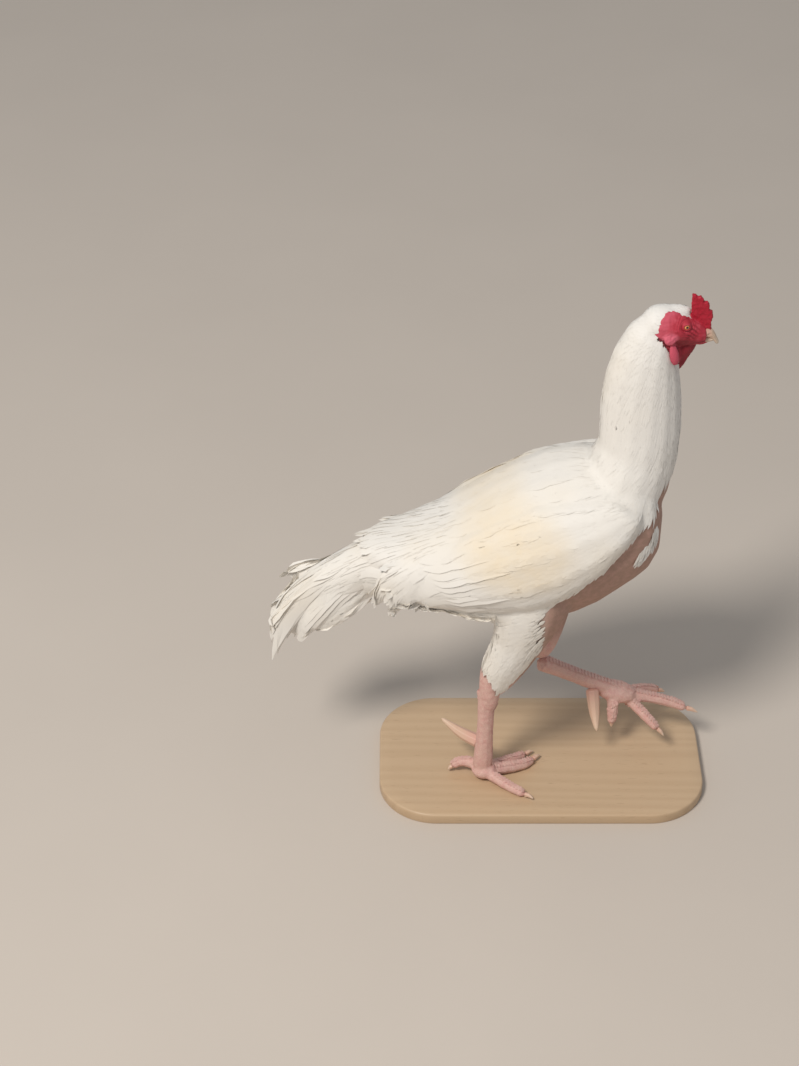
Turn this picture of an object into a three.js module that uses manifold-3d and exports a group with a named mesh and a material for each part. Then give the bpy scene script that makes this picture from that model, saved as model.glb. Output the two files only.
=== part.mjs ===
// A life-size game rooster in mid stride: the right foot is planted on a flat base, and the left
// leg swings forward just above it. Millimetres, +Z up, +X is the way the bird walks, +Y is its left.
// The bird is modelled with Z = 0 at the top of the base, and the group lowers the origin to the
// middle of the base's underside.
import * as THREE from "three";
import { mergeVertices } from "three/addons/utils/BufferGeometryUtils.js";
import Module from "manifold-3d";

const wasm = await Module();
wasm.setup();

// ---------------------------------------------------------------- driving dimensions
const GAP = 0.3; // between neighbouring solids
const SHANK_DEPTH = 8.8; // half size, front to back
const SHANK_WIDTH = 7.8; // half size, side to side
const TOE_HALF = 5.9; // half thickness of a front toe near its root
const CLAW_HALF = 3.2; // half thickness of a claw at its root
const CLAW_SHARE = 0.19; // of a toe's length
const CLAW_SLEEVE = 0.03; // share of a toe's length by which its flesh runs over the claw's root
const CLAW_ARCH = 1.6; // how far a claw bows up between its ends
const SPUR_RADIUS = 6.6;
const SPUR_SAG = 3; // how far a spur's middle hangs below the line between its ends
const EYE_RADIUS = 4.9;
const SADDLE_WIDTH = 12; // half size of one lock
const COMB_THICK = 6;
const BASE = { length: 340, width: 190, height: 12, corner: 60, midX: 60 };

// ---------------------------------------------------------------- colours
const paint = (colour, roughness) =>
  new THREE.MeshStandardMaterial({ color: colour, roughness, metalness: 0 });
const PLUMAGE = paint(0xe9e4d8, 0.85);
const CREAM = paint(0xe6dcc4, 0.85);
const FACE = paint(0xb8303c, 0.55);
const COMB_RED = paint(0xb01828, 0.5);
const HORN = paint(0xd8c9ac, 0.4);
const LEG = paint(0xd49c8c, 0.6);
const EYE = paint(0xd98a3c, 0.15);
const STAND = paint(0xc9ad86, 0.6);

// ---------------------------------------------------------------- shape helpers
const TANGENT_STEP = 0.01; // share of a line on each side of a point that its direction is taken over
const EVENNESS = 0.55; // 0 crowds a loft's rings towards its ends, 1 spaces them evenly
const lerp = (a, b, t) => a + (b - a) * t;

// Catmull-Rom through a list of numbers, with t from 0 to 1 over the whole list.
function spline(values, t) {
  const at = t * (values.length - 1);
  const i = Math.min(Math.floor(at), values.length - 2);
  const pick = (k) => values[Math.min(Math.max(k, 0), values.length - 1)];
  const [a, b, c, d] = [pick(i - 1), pick(i), pick(i + 1), pick(i + 2)];
  const f = at - i;
  return (
    b + 0.5 * f * (c - a + f * (2 * a - 5 * b + 4 * c - d + f * (3 * (b - c) + d - a)))
  );
}

// How much of its full section a loft has at t: round ends over the shares start and end.
function dome(t, start, end) {
  const near = start > 0 ? Math.min(1, t / start) : 1;
  const far = end > 0 ? Math.min(1, (1 - t) / end) : 1;
  const round = (share) => Math.sqrt(Math.max(0, 1 - (1 - share) ** 2));
  return round(near) * round(far);
}

// A closed body along a line of stations. Each station is { at: [x, y, z], side, up, down } with
// half sizes, and may have roll (degrees about the line), camber (how far the section's two ends
// bend to the -side) and pinch (how much narrower the lower half is). ref is the up direction.
// grow makes every half size larger, and the body longer, for cutting a neighbour with a gap.
function loft(stations, options = {}) {
  const { rings = 16, sides = 16, ref = [0, 0, 1], upright = false } = options;
  const { start = 0.12, end = 0.12, grow = 0, blunt = 2 } = options;
  const read = (key, t, fallback = 0) =>
    spline(stations.map((s) => s[key] ?? fallback), t);
  const centre = (t) =>
    new THREE.Vector3(...[0, 1, 2].map((k) => spline(stations.map((s) => s.at[k]), t)));
  const along = (t) =>
    centre(Math.min(1, t + TANGENT_STEP)).sub(centre(Math.max(0, t - TANGENT_STEP))).normalize();
  const positions = [];
  const addPoint = (p) => positions.push(p.x, p.y, p.z);
  for (let r = 0; r <= rings; r++) {
    const t = 0.5 - 0.5 * Math.cos((Math.PI * r) / rings);
    const spread = lerp(t, r / rings, EVENNESS);
    const tangent = along(spread);
    const middle = centre(spread);
    if (r === 0 || r === rings) {
      addPoint(middle.addScaledVector(tangent, r ? grow : -grow));
      continue;
    }
    const up = new THREE.Vector3(...ref);
    if (!upright) up.addScaledVector(tangent, -up.dot(tangent)).normalize();
    const side = upright
      ? new THREE.Vector3(0, 1, 0)
      : new THREE.Vector3().crossVectors(up, tangent).normalize();
    const roll = THREE.MathUtils.degToRad(read("roll", spread));
    const turned = up.clone().applyAxisAngle(tangent, roll);
    const turnedSide = side.clone().applyAxisAngle(tangent, roll);
    const size = dome(spread, start, end);
    const half = {
      side: read("side", spread) * size + grow,
      up: read("up", spread) * size + grow,
      down: read("down", spread) * size + grow,
    };
    const camber = read("camber", spread) * size;
    const pinch = read("pinch", spread);
    for (let k = 0; k < sides; k++) {
      const angle = (2 * Math.PI * k) / sides;
      const soft = (v) => Math.sign(v) * Math.abs(v) ** (2 / blunt);
      const high = soft(Math.cos(angle));
      const wide = soft(Math.sin(angle)) * (high < 0 ? 1 - pinch * high * high : 1);
      addPoint(
        middle
          .clone()
          .addScaledVector(turned, high * (high > 0 ? half.up : half.down))
          .addScaledVector(turnedSide, wide * half.side - camber * high * high),
      );
    }
  }
  return closedTube(positions, rings, sides);
}

// Faces for rings of points between two end points, turned outwards.
function closedTube(positions, rings, sides) {
  const index = [];
  const at = (r, k) => 1 + (r - 1) * sides + (k % sides);
  const last = positions.length / 3 - 1;
  for (let k = 0; k < sides; k++) {
    index.push(0, at(1, k + 1), at(1, k));
    index.push(last, at(rings - 1, k), at(rings - 1, k + 1));
    for (let r = 1; r < rings - 1; r++) {
      index.push(at(r, k), at(r, k + 1), at(r + 1, k));
      index.push(at(r, k + 1), at(r + 1, k + 1), at(r + 1, k));
    }
  }
  const geometry = new THREE.BufferGeometry();
  geometry.setAttribute("position", new THREE.Float32BufferAttribute(positions, 3));
  geometry.setIndex(index);
  return solid(geometry);
}

// A manifold-3d solid from a closed geometry, whichever way its faces point.
function solid(geometry) {
  const bare = geometry.clone();
  for (const name of ["normal", "uv"]) bare.deleteAttribute(name);
  const merged = mergeVertices(bare, 1e-4);
  const triVerts = new Uint32Array(merged.index.array);
  const vertProperties = new Float32Array(merged.attributes.position.array);
  const make = () =>
    new wasm.Manifold(new wasm.Mesh({ numProp: 3, vertProperties, triVerts }));
  const made = make();
  if (made.volume() > 0) return made;
  for (let i = 0; i < triVerts.length; i += 3)
    [triVerts[i + 1], triVerts[i + 2]] = [triVerts[i + 2], triVerts[i + 1]];
  return make();
}

// An ellipsoid with its centre and three half sizes, turned by pitch degrees about Y.
function bead(centre, half, { detail = 12, grow = 0, pitch = 0 } = {}) {
  const ball = new THREE.SphereGeometry(1, detail, Math.round(detail * 0.7));
  ball.scale(...half.map((h) => h + grow));
  ball.rotateY(THREE.MathUtils.degToRad(pitch));
  ball.translate(...centre);
  return solid(ball);
}

// The largest piece of a solid once others are cut away from it.
function cut(body, ...others) {
  const rest = others.reduce((whole, other) => whole.subtract(other), body);
  const pieces = rest.decompose();
  return pieces.reduce((best, p) => (p.volume() > best.volume() ? p : best));
}

// The same body on the bird's other side. Paired bodies are made for the right side first.
const mirrored = (body) => body.mirror([0, 1, 0]);
const SIDES = [
  ["right", (body) => body],
  ["left", mirrored],
];

const group = new THREE.Group();
const bird = new THREE.Group();
group.add(bird);

// Adds one named sub-part to the bird.
function add(name, body, material) {
  const { numProp, vertProperties, triVerts } = body.getMesh();
  const geometry = new THREE.BufferGeometry();
  const points = new Float32Array((vertProperties.length / numProp) * 3);
  for (let i = 0; i < points.length / 3; i++)
    points.set(vertProperties.subarray(i * numProp, i * numProp + 3), i * 3);
  geometry.setAttribute("position", new THREE.BufferAttribute(points, 3));
  geometry.setIndex(new THREE.BufferAttribute(new Uint32Array(triVerts), 1));
  const mesh = new THREE.Mesh(geometry, material);
  mesh.name = name;
  bird.add(mesh);
}

// ---------------------------------------------------------------- trunk
// Upright slices from the rump to the breast, deepest above the legs and narrow along the keel.
const TRUNK = [
  { at: [-128, 0, 273], side: 22, up: 17, down: 14, pinch: 0.1 },
  { at: [-90, 0, 271], side: 42, up: 26, down: 29, pinch: 0.15 },
  { at: [-40, 0, 273], side: 58, up: 46, down: 50, pinch: 0.25 },
  { at: [10, 0, 281], side: 69, up: 70, down: 78, pinch: 0.35 },
  { at: [60, 0, 293], side: 74, up: 82, down: 98, pinch: 0.4 },
  { at: [105, 0, 305], side: 71, up: 77, down: 90, pinch: 0.35 },
  { at: [142, 0, 314], side: 62, up: 66, down: 66, pinch: 0.25 },
  { at: [171, 0, 314], side: 50, up: 50, down: 44, pinch: 0.1 },
];
const trunkBody = (grow = 0) =>
  loft(TRUNK, { rings: 16, sides: 22, upright: true, start: 0.1, end: 0.13, blunt: 2.4, grow });

// ---------------------------------------------------------------- neck and head
// The neck's up side is its nape and its down side the throat.
const NECK = [
  { at: [112, 0, 317], side: 54, up: 50, down: 44 },
  { at: [127, 0, 355], side: 50, up: 41, down: 47 },
  { at: [142, 0, 395], side: 37, up: 39, down: 39 },
  { at: [145, 0, 439], side: 32, up: 42, down: 36 },
  { at: [147, 0, 479], side: 29, up: 40, down: 30 },
  { at: [152, 0, 513], side: 25, up: 33, down: 20 },
  { at: [164, 0, 548], side: 20, up: 25, down: 14 },
];
const neckBody = (grow = 0) =>
  loft(NECK, { rings: 11, sides: 15, ref: [-1, 0, 0], start: 0.1, end: 0.2, grow });

const HEAD = [
  { at: [138, 0, 533], side: 15, up: 13, down: 14 },
  { at: [155, 0, 533], side: 18.5, up: 19, down: 19 },
  { at: [171, 0, 531], side: 18, up: 18, down: 20, pinch: 0.15 },
  { at: [186, 0, 526], side: 13.5, up: 13.5, down: 13, pinch: 0.1 },
  { at: [199, 0, 522], side: 9, up: 8.5, down: 7.5 },
];
const headBody = (grow = 0) =>
  loft(HEAD, { rings: 11, sides: 14, upright: true, start: 0.14, end: 0.1, grow });

const THROAT = [
  { at: [184, 0, 517], side: 8, up: 9, down: 8 },
  { at: [176, 0, 503], side: 7.5, up: 9, down: 8 },
  { at: [173, 0, 483], side: 3.5, up: 4, down: 4 },
];
const throatBody = (grow = 0) =>
  loft(THROAT, { rings: 7, sides: 8, ref: [1, 0, 0], start: 0.2, end: 0.3, grow });

const UPPER_BEAK = [
  { at: [188, 0, 525], side: 7.4, up: 6.2, down: 5 },
  { at: [198, 0, 524.5], side: 5.8, up: 5.6, down: 4.2 },
  { at: [206, 0, 521.5], side: 3.6, up: 4, down: 3.4 },
  { at: [212, 0, 515.5], side: 1.2, up: 1.4, down: 1.2 },
];
const upperBeak = (grow = 0) =>
  loft(UPPER_BEAK, { rings: 8, sides: 9, start: 0.15, end: 0.1, grow });

const LOWER_BEAK = [
  { at: [188, 0, 516.5], side: 6.2, up: 3, down: 3.8 },
  { at: [198, 0, 516], side: 4.8, up: 2.4, down: 3 },
  { at: [207, 0, 516], side: 2.2, up: 1.2, down: 1.4 },
];
const lowerBeak = () => loft(LOWER_BEAK, { rings: 7, sides: 8, start: 0.15, end: 0.2 });

// The comb is a thick upright blade with low, blunt points, tallest at the back. Its outline is
// [x, z] on the bird's middle plane, from the rear of its root over the points to the front.
const COMB = [
  [182, 538], [183.5, 546], [182.8, 556], [183.2, 565], [185.6, 564.6], [187.2, 561.4],
  [190.2, 562.6], [192.6, 560.4], [193.4, 556.8], [196.8, 557], [198.9, 553.6], [198.6, 549],
  [201.9, 546.8], [202.6, 541], [201.4, 535], [202, 528], [199, 522], [188, 528],
];
const COMB_BEVEL = { thickness: 1.6, size: 0.9 };
function combBody(grow = 0) {
  const outline = new THREE.Shape(COMB.map(([x, z]) => new THREE.Vector2(x, z)));
  const { thickness, size } = COMB_BEVEL;
  const blade = new THREE.ExtrudeGeometry(outline, {
    depth: COMB_THICK - 2 * thickness + 2 * grow,
    bevelEnabled: true,
    bevelThickness: thickness,
    bevelSize: size + grow,
    bevelSegments: 1,
    steps: 1,
  });
  blade.translate(0, 0, -COMB_THICK / 2 + thickness - grow);
  blade.rotateX(Math.PI / 2);
  return solid(blade);
}

const eyeBody = (grow = 0) =>
  bead([177, -11.6, 538], [EYE_RADIUS, EYE_RADIUS, EYE_RADIUS], { grow, detail: 8 });
const lobeBody = (grow = 0) =>
  bead([161, -16.5, 525], [7, 4.6, 6.4], { grow, detail: 8 });
const wattleBody = (grow = 0) =>
  bead([166.5, -16.2, 510], [5.4, 5, 12.5], { grow, detail: 10, pitch: -16 });

add("trunk", trunkBody(), PLUMAGE);
const headPieces = (grow) => [headBody(grow), throatBody(grow)];
add("neck", cut(neckBody(), trunkBody(GAP), ...headPieces(GAP)), PLUMAGE);
add("head", cut(headBody(), eyeBody(GAP), mirrored(eyeBody(GAP))), FACE);
add("throat", cut(throatBody(), headBody(GAP)), FACE);
add("beak_upper", cut(upperBeak(), headBody(GAP)), HORN);
add("beak_lower", cut(lowerBeak(), headBody(GAP), throatBody(GAP), upperBeak(GAP)), HORN);
add("comb", cut(combBody(), headBody(GAP), upperBeak(GAP)), COMB_RED);
for (const [side, place] of SIDES) {
  const face = [headBody(GAP), neckBody(GAP), throatBody(GAP)];
  add("eye_" + side, place(eyeBody()), EYE);
  add("earlobe_" + side, cut(place(lobeBody()), ...face), FACE);
  add("wattle_" + side, cut(place(wattleBody()), ...face, place(lobeBody(GAP))), COMB_RED);
}

// ---------------------------------------------------------------- wings
// The covert shield wraps the flank, and the flight feathers show below and behind it.
const WING = [
  { at: [143, -56, 355], side: 7, up: 21, down: 8, roll: 24, camber: 3 },
  { at: [116, -70, 334], side: 9, up: 42, down: 20, roll: 23, camber: 10 },
  { at: [73, -76, 311], side: 9, up: 57, down: 42, roll: 11, camber: 16 },
  { at: [25, -73, 293], side: 11, up: 54, down: 55, roll: 8, camber: 21 },
  { at: [-20, -65, 275], side: 10, up: 42, down: 41, roll: 2, camber: 15 },
  { at: [-52, -56, 260], side: 6, up: 27, down: 24, camber: 6 },
  { at: [-74, -50, 249], side: 3, up: 13, down: 13, camber: 2 },
];
const wingBody = (grow = 0) =>
  loft(WING, { rings: 10, sides: 14, start: 0.1, end: 0.08, blunt: 2.4, grow });

const FLIGHT = [
  { at: [74, -64, 268], side: 3, up: 14, down: 9, roll: 4 },
  { at: [42, -64, 255], side: 3.5, up: 22, down: 19, roll: 4 },
  { at: [0, -60, 247], side: 3.5, up: 22, down: 19, roll: 4 },
  { at: [-42, -50, 244], side: 3, up: 18, down: 13, roll: 2 },
  { at: [-77, -42, 239], side: 2, up: 7, down: 6 },
];
const flightBody = (grow = 0) =>
  loft(FLIGHT, { rings: 9, sides: 8, start: 0.1, end: 0.1, blunt: 2.4, grow });

// ---------------------------------------------------------------- saddle
// Long pointed feathers that hang from each side of the rump between the wing and the tail.
const SADDLE = [
  { root: [-58, -48, 284], bend: [-74, -52, 262], tip: [-84, -50, 236] },
  { root: [-70, -45, 284], bend: [-88, -49, 256], tip: [-97, -43, 221] },
  { root: [-84, -41, 284], bend: [-102, -45, 258], tip: [-113, -40, 233] },
];
function saddleBody(grow = 0) {
  const locks = SADDLE.map(({ root, bend, tip }) =>
    loft(
      [
        { at: root, side: 4, up: SADDLE_WIDTH, down: SADDLE_WIDTH },
        { at: bend, side: 4, up: SADDLE_WIDTH, down: SADDLE_WIDTH },
        { at: tip, side: 1.2, up: 1.6, down: 1.6 },
      ],
      { rings: 5, sides: 6, ref: [-1, 0, 0.2], start: 0.1, end: 0.06, grow },
    ),
  );
  return locks.reduce((whole, lock) => whole.add(lock));
}

// ---------------------------------------------------------------- tail
// A folded, drooping tail, with long curved plumes lying along each side of it.
const TAIL = [
  { at: [-96, 0, 269], side: 27, up: 27, down: 27, pinch: 0.1 },
  { at: [-128, 0, 245], side: 25, up: 30, down: 34, pinch: 0.2 },
  { at: [-158, 0, 220], side: 21, up: 32, down: 36, pinch: 0.25 },
  { at: [-186, 0, 195], side: 15, up: 28, down: 28, pinch: 0.2 },
  { at: [-205, 0, 170], side: 8, up: 18, down: 18 },
];
const tailBody = (grow = 0) =>
  loft(TAIL, { rings: 10, sides: 12, start: 0.1, end: 0.16, grow });

// Each plume runs from its root over a bend and a fall to its tip, for the bird's right side. A
// plume's deep is its half size up and down at its deepest.
const LONG = [[-108, -9, 271], [-162, -15, 240], [-209, -14, 191], [-217, -10, 138]];
const MIDDLE = [[-112, -17, 258], [-156, -20, 221], [-182, -18, 189], [-190, -14, 165]];
const LOW = [[-112, -20, 244], [-141, -20, 213], [-159, -18, 195], [-172, -15, 181]];
const HIGH = [[-108, -9, 267], [-148, -15, 245], [-178, -17, 238], [-206, -18, 229]];
const PLUMES = {
  right: [
    { path: LONG, deep: 12 },
    { path: MIDDLE, deep: 10 },
    { path: LOW, deep: 9 },
  ],
  left: [
    { path: HIGH, deep: 8 },
    { path: LONG, deep: 11 },
    { path: MIDDLE, deep: 10 },
  ],
};
function plumeBody({ path, deep }, grow = 0) {
  const shares = [0.6, 1, 0.95, 0.35];
  const [thin, thick] = [1.2, 2.4];
  const stations = path.map((at, i) => ({
    at,
    side: lerp(thin, thick, shares[i]),
    up: deep * shares[i],
    down: deep * shares[i],
  }));
  return loft(stations, { rings: 8, sides: 6, start: 0.15, end: 0.2, grow });
}

// ---------------------------------------------------------------- legs and feet
// Each leg has its own pose: hip, hock and the ball of the foot, and for each toe a middle and a
// tip. A toe leaves the ball of the foot unless it has its own root.
const LEGS = {
  right: {
    thigh: [
      { at: [50, -42, 267], side: 32, up: 40, down: 44 },
      { at: [42, -44, 230], side: 30, up: 36, down: 38 },
      { at: [31, -42, 189], side: 24, up: 26, down: 26 },
      { at: [15, -38, 151], side: 19, up: 23, down: 21 },
      { at: [8, -35, 112], side: 9, up: 9, down: 11 },
    ],
    hock: [1, -34, 123],
    foot: [-2, -34, 9.5],
    palm: { at: [0, -34, 9.8], half: [13.5, 12, 9.5], pitch: 0 },
    spur: { root: [-5, -28, 42], tip: [-45, -8, 57.5] },
    toes: {
      hallux: { root: [-8, -29, 12], middle: [-24, -24, 12.5], tip: [-38, -28, 3] },
      toe_2: { middle: [30, -13, 5.4], tip: [54, 2, 3] },
      toe_3: { middle: [36, -25, 5.8], tip: [61, -4, 3] },
      toe_4: { middle: [24, -55, 5.4], tip: [50.5, -73.5, 3] },
    },
  },
  left: {
    thigh: [
      { at: [62, 42, 263], side: 32, up: 42, down: 40 },
      { at: [66, 40, 227], side: 30, up: 36, down: 38 },
      { at: [66, 34, 187], side: 23, up: 25, down: 26 },
      { at: [60, 24, 150], side: 17, up: 20, down: 21 },
      { at: [57, 15, 118], side: 10, up: 10, down: 11 },
    ],
    hock: [54, 13, 118],
    foot: [148, 31, 59],
    palm: { at: [140, 28, 64.5], half: [23, 13.5, 11.5], pitch: 15 },
    spur: { root: [114, 21, 76], tip: [118.5, -8, 40] },
    toes: {
      hallux: { root: [137, 20, 62], middle: [136, 13, 50], tip: [135.5, 9, 30.5] },
      toe_2: { middle: [171, 13, 43], tip: [191, 0, 25.5] },
      toe_3: { middle: [190, 30, 51], tip: [229, 26, 36] },
      toe_4: { middle: [173, 48, 52], tip: [196, 57, 39] },
    },
  },
};
const TOE_SIZES = { hallux: 0.98, toe_2: 0.94, toe_3: 1.02, toe_4: 0.96 };
const ROOT_SHARE = 0.08; // how far a toe's line starts from the ball of the foot

const vector = (p) => new THREE.Vector3(...p);
const rod = (at, half) => ({ at: at.toArray(), side: half, up: half, down: half });

// A toe's path out of the foot, and its claw's path, which curves down to the tip.
function toePaths(foot, { root, middle, tip }) {
  const start = root ? vector(root) : vector(foot).lerp(vector(middle), ROOT_SHARE);
  const path = new THREE.CatmullRomCurve3([start, vector(middle), vector(tip)]);
  const knuckle = path.getPointAt(1 - CLAW_SHARE);
  const bow = path.getPointAt(1 - CLAW_SHARE / 2);
  bow.z += CLAW_ARCH;
  const flesh = [0, 0.3, 0.6, 1 - CLAW_SHARE + CLAW_SLEEVE].map((t) => path.getPointAt(t));
  return { flesh, claw: [knuckle, bow, vector(tip)] };
}

function toeBody(foot, toe, size, grow = 0) {
  const shares = [1.15, 0.98, 0.88, 0.68];
  const stations = toePaths(foot, toe).flesh.map((p, i) => rod(p, TOE_HALF * size * shares[i]));
  return loft(stations, { rings: 6, sides: 8, start: 0.06, end: 0.16, grow });
}

function clawBody(foot, toe, size) {
  const shares = [1, 0.75, 0.2];
  const stations = toePaths(foot, toe).claw.map((p, i) => rod(p, CLAW_HALF * size * shares[i]));
  return loft(stations, { rings: 4, sides: 6, start: 0.2, end: 0.1 });
}

// The scaled shank and, joined to it, the palm that the toes leave.
function shankBody({ hock, foot, palm }, grow = 0) {
  const shares = [1.15, 1.02, 0.93, 0.94, 1, 1.12, 1.15];
  const stations = shares.map((share, i) => ({
    at: vector(hock).lerp(vector(foot), i / (shares.length - 1)).toArray(),
    side: SHANK_WIDTH * share,
    up: SHANK_DEPTH * share,
    down: SHANK_DEPTH * share,
  }));
  const tube = loft(stations, { rings: 9, sides: 10, ref: [1, 0, 0.3], start: 0.09, end: 0.08, grow });
  return tube.add(bead(palm.at, palm.half, { grow, pitch: palm.pitch, detail: 10 }));
}

function spurBody({ root, tip }) {
  const bend = vector(root).lerp(vector(tip), 0.5);
  bend.z -= SPUR_SAG;
  const shares = [1, 0.78, 0.12];
  const stations = [vector(root), bend, vector(tip)].map((p, i) =>
    rod(p, SPUR_RADIUS * shares[i]),
  );
  return loft(stations, { rings: 7, sides: 8, start: 0.06, end: 0.06 });
}

const thighBody = ({ thigh }, grow = 0) =>
  loft(thigh, { rings: 10, sides: 12, ref: [1, 0, 0], start: 0.1, end: 0.16, grow });

// Cuts the planted toes flat, a gap above the base.
const FLOOR = { width: 900, depth: 100 };
const floorBlock = solid(
  new THREE.BoxGeometry(FLOOR.width, FLOOR.width, FLOOR.depth).translate(0, 0, GAP - FLOOR.depth / 2),
);

for (const [side, leg] of Object.entries(LEGS)) {
  const thigh = cut(thighBody(leg), trunkBody(GAP));
  const apart = side === "left" ? cut(thigh, thighBody(LEGS.right, GAP)) : thigh;
  add("thigh_" + side, apart, PLUMAGE);
  add("shank_" + side, cut(shankBody(leg), thighBody(leg, GAP), floorBlock), LEG);
  add("spur_" + side, cut(spurBody(leg.spur), shankBody(leg, GAP)), HORN);
  const done = [shankBody(leg, GAP), floorBlock];
  for (const [name, toe] of Object.entries(leg.toes)) {
    const size = TOE_SIZES[name];
    const cutter = toeBody(leg.foot, toe, size, GAP);
    add(name + "_" + side, cut(toeBody(leg.foot, toe, size), ...done), LEG);
    const claw = cut(clawBody(leg.foot, toe, size), cutter, floorBlock);
    add("claw_" + name + "_" + side, claw, HORN);
    done.push(cutter);
  }
}

add("tail", cut(tailBody(), trunkBody(GAP)), PLUMAGE);
for (const [side, place] of SIDES) {
  const done = [trunkBody(GAP), neckBody(GAP), tailBody(GAP), thighBody(LEGS[side], GAP)];
  const addNext = (name, body, cutter, material) => {
    add(name, cut(place(body), ...done), material);
    done.push(place(cutter));
  };
  addNext("wing_" + side, wingBody(), wingBody(GAP), CREAM);
  addNext("flight_" + side, flightBody(), flightBody(GAP), PLUMAGE);
  addNext("saddle_" + side, saddleBody(), saddleBody(GAP), CREAM);
  PLUMES[side].forEach((plume, i) => {
    addNext("plume_" + side + "_" + (i + 1), plumeBody(plume), plumeBody(plume, GAP), PLUMAGE);
  });
}

// ---------------------------------------------------------------- display base
function baseBody() {
  const { length, width, height, corner, midX } = BASE;
  const outline = new THREE.Shape();
  const [x, y] = [length / 2, width / 2];
  outline.moveTo(-x + corner, -y);
  outline.absarc(x - corner, -y + corner, corner, -Math.PI / 2, 0, false);
  outline.absarc(x - corner, y - corner, corner, 0, Math.PI / 2, false);
  outline.absarc(-x + corner, y - corner, corner, Math.PI / 2, Math.PI, false);
  outline.absarc(-x + corner, -y + corner, corner, Math.PI, 1.5 * Math.PI, false);
  const slab = new THREE.ExtrudeGeometry(outline, {
    depth: height,
    bevelEnabled: false,
    curveSegments: 5,
  });
  slab.translate(midX, 0, -height);
  return solid(slab);
}
add("stand_base", baseBody(), STAND);

bird.position.set(-BASE.midX, 0, BASE.height);

export default group;
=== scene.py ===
"""A still, life-size white gamecock stepping forward on a plain wooden display base.

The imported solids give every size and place. One skin stands for the flesh, and closed feather vanes,
lying along the body in tracts, stand for the plumage. Lengths are in millimetres in the frame of the
solids, and become metres only when a mesh is made.
"""

import logging
import math
from dataclasses import dataclass, field
from enum import Enum
from typing import Any, Callable, Sequence

import bmesh
import bpy
import numpy as np
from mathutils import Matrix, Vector, noise
from mathutils.bvhtree import BVHTree


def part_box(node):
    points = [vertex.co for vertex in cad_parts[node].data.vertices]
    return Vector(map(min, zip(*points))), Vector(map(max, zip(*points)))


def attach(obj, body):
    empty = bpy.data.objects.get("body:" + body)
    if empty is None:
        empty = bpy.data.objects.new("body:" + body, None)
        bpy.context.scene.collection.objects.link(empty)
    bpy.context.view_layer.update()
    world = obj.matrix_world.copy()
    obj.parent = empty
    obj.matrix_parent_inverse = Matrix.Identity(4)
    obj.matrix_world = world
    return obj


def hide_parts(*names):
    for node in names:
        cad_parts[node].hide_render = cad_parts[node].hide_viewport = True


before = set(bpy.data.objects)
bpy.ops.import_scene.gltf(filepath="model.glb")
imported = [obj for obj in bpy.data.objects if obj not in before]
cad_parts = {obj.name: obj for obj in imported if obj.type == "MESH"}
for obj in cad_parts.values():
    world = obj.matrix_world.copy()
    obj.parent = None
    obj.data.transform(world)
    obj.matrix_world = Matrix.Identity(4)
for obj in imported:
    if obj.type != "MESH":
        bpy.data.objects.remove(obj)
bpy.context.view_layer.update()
LOG = logging.getLogger("rooster")
MM = 0.001
BODY = "root"

Array = np.ndarray
Chance = np.random.Generator
Mesh = bpy.types.Mesh
Material = bpy.types.Material
Thing = bpy.types.Object
Pair = tuple[float, float]
Spot = tuple[float, float, float]
Colour = Spot


class Side(Enum):
    """The two sides of the bird, with the sign of Y there."""

    RIGHT = -1
    LEFT = 1

    @property
    def word(self) -> str:
        """The side's name as the node names spell it."""
        return self.name.lower()


# ---------------------------------------------------------------- numbers


def unit(vectors: Array) -> Array:
    """The vectors at length one."""
    return vectors / np.maximum(np.linalg.norm(vectors, axis=-1, keepdims=True), 1e-9)


def ease(values: Array | float, low: float, high: float) -> Array:
    """A smooth step that is 0 at low and 1 at high.

    Args:
        values: Numbers to step.
        low: Where the step starts. It may lie above high, which turns the step round.
        high: Where the step ends.

    Returns:
        Numbers from 0 to 1.
    """
    t = np.clip((np.asarray(values, float) - low) / (high - low), 0.0, 1.0)
    return t * t * (3.0 - 2.0 * t)


def mirrored(points: Array) -> Array:
    """The points with those of the right side laid on the left side."""
    return np.abs(points * [0.0, 1.0, 0.0]) + points * [1.0, 0.0, 1.0]


def share_of(points: Array, node: str, axis: int) -> Array:
    """How far along an axis each point lies in the box of a solid, from 0 to 1 inside it."""
    low, high = box_of(node)
    return (points[:, axis] - low[axis]) / (high[axis] - low[axis])


def bump_at(points: Array, centre: Array, reach: Sequence[float]) -> Array:
    """A rounded hill of height 1 at centre that fades over reach along X, Y and Z."""
    return np.exp(-0.5 * (((points - centre) / np.asarray(reach)) ** 2).sum(axis=-1))


def grain(points: Array, size: float, layers: int = 1) -> Array:
    """Smooth noise from about -1 to 1 at each point.

    Args:
        points: Places in millimetres.
        size: Distance between one swell and the next.
        layers: How many finer layers are added up.

    Returns:
        One number for each point.
    """
    total = np.zeros(len(points))
    for layer in range(layers):
        scale = 2.0**layer / size
        total += [noise.noise(Vector(p)) / 2.0**layer for p in points * scale]
    return total * 1.6


def gathered(places: Array, vectors: Array, count: int) -> Array:
    """The sums of the vectors that go to each of count places."""
    return np.stack([np.bincount(places, weights=part, minlength=count) for part in vectors.T], axis=1)


def box_of(node: str) -> tuple[Array, Array]:
    """The lowest and highest corners of a solid, in millimetres."""
    low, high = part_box(node)
    return np.array(low) / MM, np.array(high) / MM


def inside(node: str, at: Sequence[float]) -> Array:
    """The place in a solid's box that lies at these fractions along X, Y and Z."""
    low, high = box_of(node)
    return low + (high - low) * np.asarray(at, float)


# ---------------------------------------------------------------- shells and surfaces


def added(name: str, data: Any) -> Thing:
    """A new object in the scene."""
    thing = bpy.data.objects.new(name, data)
    bpy.context.collection.objects.link(thing)
    return thing


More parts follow.
